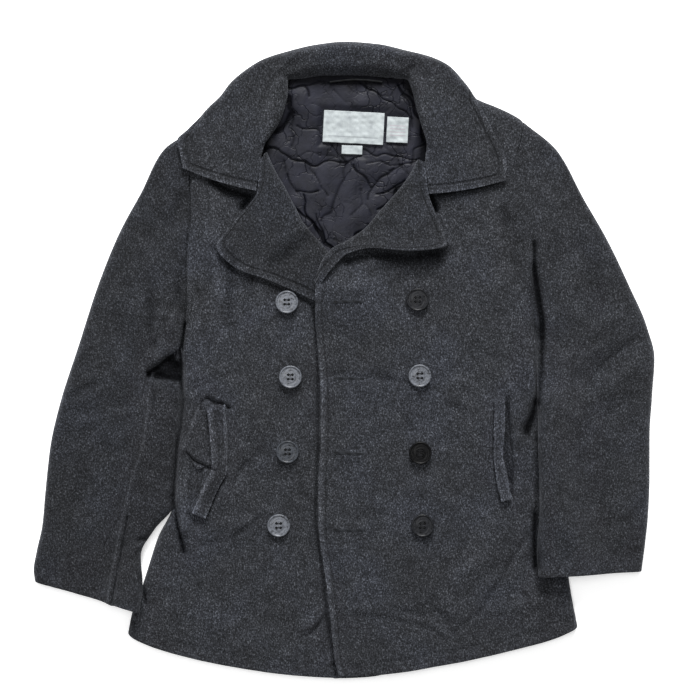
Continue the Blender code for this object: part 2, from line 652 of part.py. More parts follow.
def collar_profile(station, width):
    """Points of one station as (distance from its inner end, height of the outer face)."""
    free = OPEN_STAND
    if station.in_y < OPEN_STAND_Y:
        free = [(column, GORGE_Z) for column in GORGE_COLUMNS]
    folded = [
        (COLLAR_ROLL * across, TURNED_BOTTOM_Z + COLLAR_ROLL * up) for across, up in TURNED_STAND
    ]
    start = blend(free, folded, station.turned)
    laid, wrapped = (
        [(width - inwards, station.out_z * share) for inwards, share in edge]
        for edge in (LAID_EDGE, WRAPPED_EDGE)
    )
    end = blend(laid, wrapped, station.wrap)
    last_s, last_z = start[-1]
    end_s, end_z = end[0]
    middle = [
        (mix(last_s, end_s, t), mix(last_z, end_z, ease(0.0, 1.0, t))) for t in LEAF_MIDDLE
    ]
    under_s, under_z = end[-1]
    hidden = (under_s + LAID_LIP, under_z)
    if station.wrap == 1.0:
        hidden = (under_s - max(station.tuck, LEAST_TUCK), 0.0)
    return start + middle + end + [hidden]


def collar_rows():
    rows = []
    for station in COLLAR:
        inner = Vector((station.in_x, station.in_y))
        outer = Vector((station.out_x, station.out_y))
        width = (outer - inner).length
        row = []
        for distance, height in collar_profile(station, width):
            inside = min(max(distance, 0.0), width)
            spot = section_point(inner, outer, station.bow, inside / width, 1.0)
            spot += (outer - inner) * ((distance - inside) / width)
            row.append(Vector((spot.x, spot.y, height)))
        rows.append(row)
    return rows


def surface_of(obj):
    """Finds the highest point of an object over a spot, in millimetres."""
    bpy.context.view_layer.update()
    tree = BVHTree.FromObject(obj, bpy.context.evaluated_depsgraph_get())

    def height(x, y):
        hit = tree.ray_cast(Vector((x * MM, y * MM, 1.0)), Vector((0.0, 0.0, -1.0)))[0]
        return hit.z / MM

    return height


def lying_rows(spots, height_at, wall):
    """A piece on another one: its spots raised from the surface below by its own wall."""
    return [
        [Vector((spot.x, spot.y, height_at(spot.x, spot.y) + LYING_GAP + wall)) for spot in row]
        for row in spots
    ]


def strip_spots(strips, columns=2):
    spots = []
    for i, strip in enumerate(strips):
        below = strips[min(i + 1, len(strips) - 1)]
        above = strips[max(i - 1, 0)]
        run = Vector((below.x - above.x, below.y - above.y)).normalized()
        across = Vector((-run.y, run.x)) * strip.width
        centre = Vector((strip.x, strip.y))
        spots.append([centre + across * (k / columns - 0.5) for k in range(columns + 1)])
    return spots


def patch_spots(patch, columns=4, rows=2):
    turn = math.radians(patch.turn)
    along = Vector((math.cos(turn), math.sin(turn)))
    up = Vector((-math.sin(turn), math.cos(turn)))
    centre = Vector((patch.x, patch.y))
    spots = []
    for j in range(rows + 1):
        lift = up * patch.length * (j / rows - 0.5)
        spots.append([
            centre + lift + along * patch.width * (k / columns - 0.5)
            for k in range(columns + 1)
        ])
    return spots


def make_body():
    rows = front_rows(RIGHT_FRONT_LOWER, RIGHT_FRONT_UPPER, False)
    front_right = cloth("front_right", rows, WOOL, "wool")
    rows = front_rows(LEFT_FRONT_LOWER, LEFT_FRONT_UPPER, True)
    front_left = cloth("front_left", rows, WOOL, "wool", flip=True)
    back = cloth("back", back_rows(), WOOL, "wool", flip=True)
    return front_right, front_left, back


def make_lapels():
    cloth("lapel_right", turned_rows(RIGHT_FRONT_UPPER), DOUBLED, "wool", flip=True)
    cloth("lapel_left", turned_rows(LEFT_FRONT_UPPER), DOUBLED, "wool")


def make_collar():
    cloth("collar", collar_rows(), DOUBLED, "wool", flip=True)


def make_sleeves():
    right_line, left_line = side_lines()
    turned_under = floor_column(LEFT_FRONT_UPPER, LEFT_SEAM)
    make_sleeve("right", RIGHT_FRONT_UPPER, RIGHT_SLEEVE, right_line, -1.0, RIGHT_SEAM)
    make_sleeve("left", LEFT_FRONT_UPPER, LEFT_SLEEVE, left_line, 1.0, turned_under)


def make_neck_lining(back):
    on_back = surface_of(back)
    spots = []
    for level in NECK_LINING_LEVELS:
        spots.append([
            Vector((mix(level.x_low, level.x_high, k / LINING_COLUMNS), level.y))
            for k in range(LINING_COLUMNS + 1)
        ])
    return cloth("neck_lining", lying_rows(spots, on_back, LINING), LINING, "lining")


def make_neck_details(lining):
    on_lining = surface_of(lining)
    for patch in PATCHES:
        rows = lying_rows(patch_spots(patch), on_lining, TAPE)
        cloth(patch.name, rows, TAPE, "label")
    curve = bpy.data.curves.new("hanger_loop", "CURVE")
    curve.dimensions = "3D"
    curve.bevel_depth = LOOP_RADIUS * MM
    curve.bevel_resolution = 1
    curve.use_fill_caps = True
    spline = curve.splines.new("POLY")
    spline.points.add(LOOP_POINTS - 1)
    for k in range(LOOP_POINTS):
        t = k / (LOOP_POINTS - 1)
        x = LOOP_X + LOOP_LENGTH * (t - 0.5)
        y = LOOP_Y + LOOP_SAG * math.sin(math.pi * t)
        z = on_lining(x, y) + LYING_GAP + LOOP_RADIUS
        spline.points[k].co = (x * MM, y * MM, z * MM, 1.0)
    loop = bpy.data.objects.new("hanger_loop", curve)
    curve.materials.append(MATERIALS["tape"])
    COAT.objects.link(loop)


def make_pockets(front_right, front_left):
    on_right = surface_of(front_right)
    on_left = surface_of(front_left)
    rows = lying_rows(strip_spots(RIGHT_WELT), on_right, WOOL)
    cloth("welt_right", rows, WOOL, "wool")
    rows = lying_rows(strip_spots(LEFT_WELT), on_left, WOOL)
    cloth("welt_left", rows, WOOL, "wool")
    rows = lying_rows(strip_spots(RIGHT_POCKET_FACING), on_right, TAPE)
    cloth("pocket_facing_right", rows, TAPE, "wool")


def button_mesh():
    """A dished disc with a raised rim and four thread holes."""
    outline = bpy.data.meshes.new("button outline")
    points = [(x * MM, 0.0, z * MM) for x, z in reversed(BUTTON_PROFILE)]
    outline.from_pydata(points, [(k, k + 1) for k in range(len(points) - 1)], [])
    disc = bpy.data.objects.new("button disc", outline)
    turned = disc.modifiers.new("Turned", "SCREW")
    turned.steps = BUTTON_STEPS
    turned.render_steps = BUTTON_STEPS
    turned.use_merge_vertices = True
    bm = bmesh.new()
    for quarter in range(4):
        angle = math.radians(45.0 + 90.0 * quarter)
        made = bmesh.ops.create_cone(
            bm, cap_ends=True, segments=BUTTON_HOLE_SIDES, radius1=BUTTON_HOLE * MM,
            radius2=BUTTON_HOLE * MM, depth=3.0 * BUTTON_HEIGHT * MM,
        )
        shift = Vector((math.cos(angle), math.sin(angle), 0.0)) * BUTTON_HOLE_SPREAD * MM
        bmesh.ops.translate(bm, verts=made["verts"], vec=shift)
    drills = bpy.data.meshes.new("thread holes")
    bm.to_mesh(drills)
    bm.free()
    cutter = bpy.data.objects.new("thread holes", drills)
    cutter.hide_render = True
    cutter.display_type = "WIRE"
    CUTTERS.objects.link(cutter)
    COAT.objects.link(disc)
    cut = disc.modifiers.new("Holes", "BOOLEAN")
    cut.object = cutter
    cut.operation = "DIFFERENCE"
    bpy.context.view_layer.update()
    evaluated = disc.evaluated_get(bpy.context.evaluated_depsgraph_get())
    mesh = bpy.data.meshes.new_from_object(evaluated)
    mesh.name = "button"
    mesh.materials.clear()
    mesh.materials.append(MATERIALS["button"])
    mesh.shade_smooth()
    mesh.set_sharp_from_angle(angle=math.radians(BUTTON_SHARP))
    bpy.data.objects.remove(disc)
    return mesh


def make_buttons(front_right, front_left):
    heights = {"right": surface_of(front_right), "left": surface_of(front_left)}
    mesh = button_mesh()
    for button in BUTTONS:
        front = "right" if "right" in button.name else "left"
        under = heights[front](button.x, button.y)
        tip = max(abs(button.tip_x), abs(button.tip_y))
        lift = BUTTON_LIFT + BUTTON_RADIUS * math.sin(math.radians(tip))
        obj = bpy.data.objects.new(button.name, mesh)
        obj.location = (button.x * MM, button.y * MM, (under + lift) * MM)
        obj.rotation_euler = (math.radians(button.tip_x), math.radians(button.tip_y), 0.0)
        COAT.objects.link(obj)


for old in list(bpy.data.objects):
    bpy.data.objects.remove(old)

COAT = new_collection("pea coat")
CUTTERS = new_collection("cutters")
MATERIALS = {name: new_material(name) for name in COLOURS}

FRONT_RIGHT, FRONT_LEFT, BACK = make_body()
make_lapels()
make_collar()
make_sleeves()
make_neck_details(make_neck_lining(BACK))
make_pockets(FRONT_RIGHT, FRONT_LEFT)
make_buttons(FRONT_RIGHT, FRONT_LEFT)
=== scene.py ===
"""Double-breasted wool pea coat, unbuttoned and laid flat on its back on a pale floor.

X runs to the wearer's left, Y from hem to collar, Z up from the floor. The tables are in
millimetres. Each piece of cloth is a fine surface lofted through the same sections as its
solid, given its creases, and walled inwards. It rides on the coat's one body.
"""

import math
from collections import namedtuple

import bpy
import numpy as np
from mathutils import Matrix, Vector
from mathutils.bvhtree import BVHTree


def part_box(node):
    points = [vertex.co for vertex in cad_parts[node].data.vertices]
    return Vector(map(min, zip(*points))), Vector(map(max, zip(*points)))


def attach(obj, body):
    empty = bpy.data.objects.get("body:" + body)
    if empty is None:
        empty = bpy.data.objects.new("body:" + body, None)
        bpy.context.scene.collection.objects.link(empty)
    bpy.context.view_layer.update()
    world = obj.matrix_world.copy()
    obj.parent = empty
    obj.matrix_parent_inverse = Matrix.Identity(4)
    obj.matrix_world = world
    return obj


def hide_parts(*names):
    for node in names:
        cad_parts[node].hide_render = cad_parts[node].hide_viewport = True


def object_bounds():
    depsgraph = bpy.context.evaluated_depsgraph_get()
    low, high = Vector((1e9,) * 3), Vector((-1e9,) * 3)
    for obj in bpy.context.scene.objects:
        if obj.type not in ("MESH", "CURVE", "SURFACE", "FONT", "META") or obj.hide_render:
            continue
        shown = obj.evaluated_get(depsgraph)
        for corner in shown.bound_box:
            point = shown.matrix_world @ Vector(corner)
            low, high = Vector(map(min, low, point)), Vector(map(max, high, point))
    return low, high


bl_info = {
    "name": "Pea coat laid flat",
    "version": (1, 0, 0),
    "blender": (4, 5, 0),
    "location": "3D View > Sidebar > Pea coat",
    "description": "Builds the cloth, trim and buttons of a pea coat on its packed solids",
    "category": "Object",
}

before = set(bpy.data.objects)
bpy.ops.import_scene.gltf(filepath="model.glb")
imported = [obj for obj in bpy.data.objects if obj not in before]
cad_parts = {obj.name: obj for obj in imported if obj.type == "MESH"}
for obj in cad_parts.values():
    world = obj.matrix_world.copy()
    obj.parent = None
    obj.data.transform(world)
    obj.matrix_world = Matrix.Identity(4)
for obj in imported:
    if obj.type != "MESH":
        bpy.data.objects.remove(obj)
CAD_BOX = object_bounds()

MM = 0.001
BODY = "root"

WOOL = 3.0              # wall of the heavy coating with its lining
DOUBLED = 4.0           # wall of the faced pieces: lapels and collar
LINING = 2.0
TAPE = 1.0
SEAM = 0.3
SIDE_SEAM = 1.1         # a front's rounded side starts this far above the back
SHOULDER_SEAM = 1.9     # and its shoulder this far

BODY_TOP = 14.0         # outer face of a single front above the floor
OVERLAP_TOP = 17.3      # outer face of the over front where it laps the under front
EDGE_FOLD = 10.0        # plan width of the rounded fold at side and shoulder
HEM_CURVE = 0.6         # below 1, a bowed hem is flatter in its middle
BACK_HEM_BOW = -46.0
BACK_HEM_SHARE = 0.7
BACK_NECK_BOW = 64.0
BACK_NECK_SHARE = 0.4
GORGE_CLOSED = 1.5      # the collar's joined edge is drawn this far over the gorge seam
LAP_STARTS = 112.0
LAP_ENDS = 80.0
RISE_FROM_EDGE = (40.0, 105.0)
NECK_RAISE = 4.3
RAISE_Y = (285.0, 325.0)
RAISE_X = (110.0, 150.0)
SHOULDER_BOW = 8.0
LAPEL_ROLL = 6.0
LAPEL_LEG = 3.0
TUCKED_ROLL = 4.7
COLLAR_ROLL = 7.5
SLEEVE_SEAM = 0.2
CAP_GAP = 0.4
TOUCHING = 9.0          # a sleeve this near the body's side lies against it
PRESS = 2.4
CUFF_RISE = 17.8
REST_RAMP = 64.0

GRID = 2.8              # spacing of a panel's surface
FINE_GRID = 2.6         # and of the collar's and lapels'
BACK_GRID = 6.0
LINING_GRID = 1.2
COLUMNS_PER_ROW = 6     # sleeve columns between two points of an armhole
FOLD_STEPS = 7
# Gains of the listed relief below, and the cloth's own unevenness under it.
FOLD_GAIN = 1.3
CREASE_GAIN = 1.5
CREASE_SHADE = 0.75     # a crease's share in the painted shade and highlight of the nap
UNEVENNESS = (          # height, wavelength and seed of each ripple
    (0.85, 95.0, 3), (0.36, 38.0, 5), (0.13, 15.0, 8),
)

# The stage, in metres except for the lens.
FLOOR_Z = -0.0004
FLOOR_CELLS = 24
LIGHTS = (
    # name       place               size  watts
    ("window", (0.3, 4.2, 2.6), 1.9, 440.0),
    ("overhead", (-0.5, 0.25, 2.2), 0.9, 16.0),
)
WORLD_STRENGTH = 0.46
CAMERA_LENS = 85.0      # millimetres, as the sensor
CAMERA_SENSOR = 36.0
VIEW_WIDTH = 0.875      # how much of the floor the camera spans
VIEW_CENTRE = (0.0075, 0.012)
VIEW_Z = 0.015

Fold = namedtuple("Fold", "name x0 y0 x1 y1 width height")
FOLDS = (
    #    name                    x0    y0    x1    y1  width height
    Fold("right chest ridge",   -161,  222, -164,  150,  15,  1.6),
    Fold("right chest hollow",  -141,  205, -150,  150,  14, -1.4),
    Fold("left chest ridge",     178,  205,  160,  120,  20,  1.3),
    Fold("right waist drag",    -120,  -70,  -70, -120,  22,  1.2),
    Fold("right skirt ridge",   -161, -231, -111, -200,  16,  1.5),
    Fold("right skirt hollow",  -205, -262, -150, -300,  22, -1.3),
    Fold("left skirt hollow",    101, -318,  133, -338,  14, -1.4),
    Fold("left skirt ridge",     172, -312,  250, -300,  18,  1.5),
    Fold("left waist hollow",    158,  -60,  150,    5,  20, -1.2),
    Fold("right sleeve hollow", -290,   40, -245,  -25,  20, -2.0),
    Fold("right elbow ridge",   -345,  -60, -285,  -20,  18,  2.2),
    Fold("right forearm ridge", -243,  -40, -280, -220,  12,  2.4),
    Fold("left elbow hollow",    372,   25,  300,  -30,  16, -2.4),
    Fold("left elbow ridge",     370,   -8,  285,  -60,  18,  2.2),
    Fold("left upper ridge",     265,   60,  262,  150,  20,  1.8),
    Fold("left forearm ridge",   345,  -90,  330, -215,  24,  1.8),
)

# Sections of a front below its armhole, from the side to the front edge. bow is how far
# the section curves down between them; edge_z is the outer face's height at the edge.
Lower = namedtuple("Lower", "name side_x side_y edge_x edge_y bow edge_z")
RIGHT_FRONT_LOWER = (
    #     name         side_x side_y edge_x edge_y  bow  edge_z
    Lower("hem",        -273,  -343,    52,  -391, -23, 14.0),
    Lower("hem turn",   -268,  -318,    52,  -364, -20, 14.0),
    Lower("skirt",      -256,  -287,    52,  -328, -14, 14.0),
    Lower("skirt flare", -249, -265,    52,  -290, -9, 14.0),
    Lower("hip",        -236,  -225,    52,  -238,  -4, 14.0),
    Lower("side notch", -216,  -181,    52,  -184,   0, 14.0),
    Lower("pocket",     -212,  -131,    52,  -131,   0, 14.0),
    Lower("waist",      -206,   -50,    52,   -50,   0, 14.0),
    Lower("underarm",   -204,   -12,    52,   -12,   0, 14.0),
)
LEFT_FRONT_LOWER = (
    #     name          side_x side_y edge_x edge_y bow  edge_z
    Lower("hem",         291,  -335,    -9,  -394,  15, 17.3),
    Lower("hem turn",    287,  -315,   -14,  -375,  14, 17.3),
    Lower("skirt",       282,  -287,   -18,  -335,  11, 17.3),
    Lower("skirt flare", 277,  -250,   -25,  -275,   7, 17.3),
    Lower("hip",         266,  -200,   -34,  -206,   2, 17.3),
    Lower("pocket",      254,  -150,   -34,  -152,   0, 17.3),
    Lower("waist",       244,  -100,   -31,  -100,   0, 17.3),
    Lower("chest",       241,   -50,   -31,   -50,   0, 17.3),
    Lower("lower scye",  242,    12,   -35,    12,   0, 17.3),
    Lower("underarm",    237,    50,   -38,    50,   0, 21.5),
)

# From the underarm to the shoulder each section runs from the armhole to the roll
# line, turns over there and comes back as the lapel to its outer edge. A row whose
# lapel columns are None has no lapel. front_z is the front's outer face at its edge.
Upper = namedtuple("Upper", "name arm_x arm_y roll_x roll_y front_z roll lapel_x lapel_y lapel_z")
RIGHT_FRONT_UPPER = (
    #     name          arm_x arm_y roll_x roll_y front_z roll  lapel_x lapel_y lapel_z
    Upper("underarm",    -204,   12,   50,   40, 14.0, None,         None, None, None),
    Upper("tucked end",  -200,   55,    1,  106, 14.0, TUCKED_ROLL,    -8,   62, 19.2),
    Upper("crossing",    -198,   78,  -17,  129, 14.0, TUCKED_ROLL,   -37,   72, 19.4),
    Upper("low edge",    -199,  102,  -31,  145, 14.0, LAPEL_ROLL,    -67,   86, 20.0),
    Upper("low edge 2",  -199,  125,  -42,  157, 14.0, LAPEL_ROLL,   -100,  100, 20.5),
    Upper("low edge 3",  -197,  147,  -54,  172, 14.0, LAPEL_ROLL,   -134,  112, 20.5),
    Upper("point",       -194,  169,  -61,  186, 14.0, LAPEL_ROLL,   -160,  139, 21.5),
    Upper("top edge",    -194,  190,  -69,  201, 14.0, LAPEL_ROLL,   -144,  165, 22.0),
    Upper("top edge 2",  -195,  210,  -76,  215, 14.0, LAPEL_ROLL,   -126,  186, 22.5),
    Upper("notch",       -195,  226,  -85,  230, 14.0, LAPEL_ROLL,   -110,  209, 23.0),
    Upper("gorge",       -193,  243,  -92,  244, 14.0, LAPEL_ROLL,   -108,  229, 23.0),
    Upper("gorge top",   -191,  256,  -98,  258, 14.0, LAPEL_ROLL,   -106,  249, 23.0),
    Upper("neck",        -189,  268, -106,  300, 14.0, None,         None, None, None),
    Upper("shoulder",    -186,  280,  -99,  326, 14.0, None,         None, None, None),
)
LEFT_FRONT_UPPER = (
    #     name           arm_x arm_y roll_x roll_y front_z roll  lapel_x lapel_y lapel_z
    Upper("underarm",     234,   75,  -38,   75, 24.8, None,         None, None, None),
    Upper("break",        229,   85,  -38,   90, 27.4, None,         None, None, None),
    Upper("turning",      222,   96,  -35,  108, 24.6, TUCKED_ROLL,   -25,  102, 30.8),
    Upper("turned",       215,  111,  -28,  125, 24.6, TUCKED_ROLL,   -12,  118, 31.0),
    Upper("low edge",     208,  127,  -15,  139, 24.0, TUCKED_ROLL,     3,  131, 30.8),
    Upper("low edge 2",   202,  143,   -1,  146, 20.6, LAPEL_ROLL,     34,  138, 30.8),
    Upper("low edge 3",   197,  160,   12,  154, 17.6, LAPEL_ROLL,     80,  135, 30.0),
    Upper("point",        195,  180,   27,  166, 15.6, LAPEL_ROLL,    126,  142, 27.0),
    Upper("top edge",     198,  200,   42,  184, 14.6, LAPEL_ROLL,    121,  162, 25.0),
    Upper("top edge 2",   203,  218,   57,  201, 14.0, LAPEL_ROLL,    112,  182, 24.0),
    Upper("notch",        208,  235,   70,  216, 14.0, LAPEL_ROLL,    104,  204, 23.2),
    Upper("gorge",        212,  249,   81,  232, 14.0, LAPEL_ROLL,    101,  225, 23.0),
    Upper("gorge top",    216,  262,   90,  249, 14.0, LAPEL_ROLL,     99,  245, 23.0),
    Upper("neck",         219,  274,  113,  300, 14.0, None,         None, None, None),
    Upper("shoulder",     221,  287,  108,  326, 14.0, None,         None, None, None),
)


# Sections of a sleeve from armhole to cuff, each across the flattened tube. bow curves it
# outwards; height is that of the tube. rests is how much of the section's weight lies on
# the body's side, from 0 to 1.
Cross = namedtuple("Cross", "name inner_x inner_y outer_x outer_y bow height rests")
RIGHT_SLEEVE = (
    #     name        inner_x inner_y outer_x outer_y bow height rests
    Cross("cap",        -207,    4,    -226,   264,    3,  15.0, 0.0),
    Cross("cap 2",      -208,   -6,    -257,   207,    0,  17.0, 0.0),
    Cross("upper arm",  -209,  -18,    -284,   157,    0,  19.0, 0.0),
    Cross("upper arm 2", -210, -38,    -311,    90,    0,  20.0, 0.0),
    Cross("elbow",      -209,  -68,    -335,    15,    0,  21.0, 0.0),
    Cross("elbow 2",    -212, -108,    -356,   -50,    0,  21.0, 0.0),
    Cross("forearm",    -215, -148,    -370,  -110,    0,  20.0, 0.0),
    Cross("forearm 2",  -223, -182,    -376,  -165,    0,  20.0, 0.0),
    Cross("step",       -241, -216,    -380,  -208,    0,  19.0, 0.0),
    Cross("step 2",     -256, -246,    -387,  -240,    0,  19.0, 0.3),
    Cross("cuff turn",  -258, -285,    -391,  -264,    0,  18.0, 0.8),
    Cross("cuff",       -256, -315,    -389,  -279,    0,  18.0, 1.0),
)
LEFT_SLEEVE = (
    #     name        inner_x inner_y outer_x outer_y bow height rests
    Cross("cap",         238,   68,     267,   262,   20,  15.0, 0.0),
    Cross("cap 2",       241,   58,     299,   202,   10,  17.0, 0.0),
    Cross("upper arm",   243,   44,     329,   148,    5,  19.0, 0.0),
    Cross("upper arm 2", 245,   26,     356,    90,    0,  20.0, 0.0),
    Cross("elbow",       246,    4,     377,    42,    0,  21.0, 0.0),
    Cross("elbow 2",     245,  -25,     387,     2,    0,  21.0, 0.3),
    Cross("forearm",     241,  -60,     384,   -45,    0,  20.0, 1.0),
    Cross("forearm 2",   239, -105,     381,   -95,    0,  20.0, 1.0),
    Cross("wrist",       241, -155,     381,  -145,    0,  19.0, 1.0),
    Cross("wrist 2",     241, -195,     379,  -195,    0,  19.0, 1.0),
    Cross("cuff turn",   238, -240,     375,  -235,    0,  18.0, 1.0),
    Cross("cuff",        240, -271,     371,  -266,    0,  18.0, 1.0),
)
RIGHT_SEAM = 3          # the front seam of the right sleeve shows, at this top column
LEFT_SEAM = 1           # that of the left one is turned under, to this floor column
BACK_SEAM = 8           # floor column of both back seams


# Stations of the collar, from the right leaf's front edge round the neck to the left
# one's. turned: the stand is folded under the leaf (1) or stands open (0). wrap: how
# far the leaf goes round the shoulder, 0 not, 1 down to the floor. tuck: its hidden reach.
Station = namedtuple("Station", "name in_x in_y out_x out_y bow turned wrap tuck out_z")
COLLAR = (
    #        name            in_x in_y out_x out_y bow turned wrap tuck out_z
    Station("right edge",    -113, 210, -203,  238,   3, 0.0, 0.0,  0, 20.5),
    Station("right leaf",    -110, 232, -206,  254,   2, 0.0, 0.0,  0, 20.5),
    Station("right leaf 2",  -107, 254, -210,  272,   0, 0.0, 0.0,  0, 20.0),
    Station("right turn",     -93, 276, -200,  286,   0, 0.6, 0.3,  0, 20.0),
    Station("right turn 2",   -81, 298, -184,  302,   0, 1.0, 0.6,  0, 20.0),
    Station("right neck",     -75, 316, -171,  316,   0, 1.0, 1.0,  0, 21.0),
    Station("right neck 2",   -72, 332, -158,  328,   0, 1.0, 1.0,  0, 22.0),
    Station("right neck 3",   -71, 344, -144,  346,   0, 0.8, 1.0,  6, 23.0),
    Station("right ridge",    -68, 349, -122,  364,   0, 0.4, 1.0, 18, 25.0),
    Station("right ridge 2",  -58, 350, -103,  375,   0, 0.1, 1.0, 30, 26.0),
    Station("right stand",    -44, 352,  -72,  385,   0, 0.0, 1.0, 48, 26.5),
    Station("right stand 2",  -24, 354,  -38,  393,   0, 0.0, 1.0, 60, 26.5),
    Station("back neck",        0, 355,    0,  397,   0, 0.0, 1.0, 64, 26.5),
    Station("left stand 2",    28, 354,   40,  394,   0, 0.0, 1.0, 60, 26.5),
    Station("left stand",      50, 352,   76,  386,   0, 0.0, 1.0, 48, 26.5),
    Station("left ridge 2",    64, 350,  104,  379,   0, 0.1, 1.0, 30, 26.0),
    Station("left ridge",      74, 349,  128,  368,   0, 0.4, 1.0, 18, 25.0),
    Station("left neck 3",     79, 343,  146,  350,   0, 0.8, 1.0,  6, 23.0),
    Station("left neck 2",     84, 331,  160,  332,   0, 1.0, 0.4,  0, 22.0),
    Station("left neck",       88, 314,  169,  313,   0, 1.0, 0.0,  0, 21.0),
    Station("left turn",       95, 290,  178,  297,   0, 1.0, 0.0,  0, 20.5),
    Station("left turn 2",     99, 268,  186,  281,   0, 0.4, 0.0,  0, 20.0),
    Station("left leaf",      102, 248,  196,  262,   0, 0.0, 0.0,  0, 20.0),
    Station("left leaf 2",    104, 226,  201,  242,  -2, 0.0, 0.0,  0, 20.5),
    Station("left edge",      106, 206,  200,  223,  -3, 0.0, 0.0,  0, 20.5),
)
GORGE_Z = 23.2          # outer face of collar and lapel where they join
GORGE_COLUMNS = (0.0, 2.2, 4.4, 6.6, 8.8)
OPEN_STAND_Y = 340.0    # stations whose inner end is above this begin with the open stand
OPEN_STAND = ((0.0, 11.8), (2.0, 14.6), (5.0, 18.2), (9.5, 21.8), (15.0, 24.2))
TURNED_BOTTOM_Z = 11.0  # outer face of the stand where it is folded under the leaf
TURNED_STAND = ((1.0, 0.0), (0.3, 0.3), (0.0, 1.0), (0.3, 1.7), (1.0, 2.0))  # x the roll
LEAF_MIDDLE = (0.3, 0.65)
LAID_EDGE = ((9.0, 1.0), (6.0, 1.0), (3.0, 1.0), (0.5, 1.0))  # in from the edge, x out_z
WRAPPED_EDGE = ((9.0, 1.0), (2.0, 0.77), (0.0, 0.45), (5.0, 0.04))
LEAST_TUCK = 1.5
LAID_LIP = 0.6
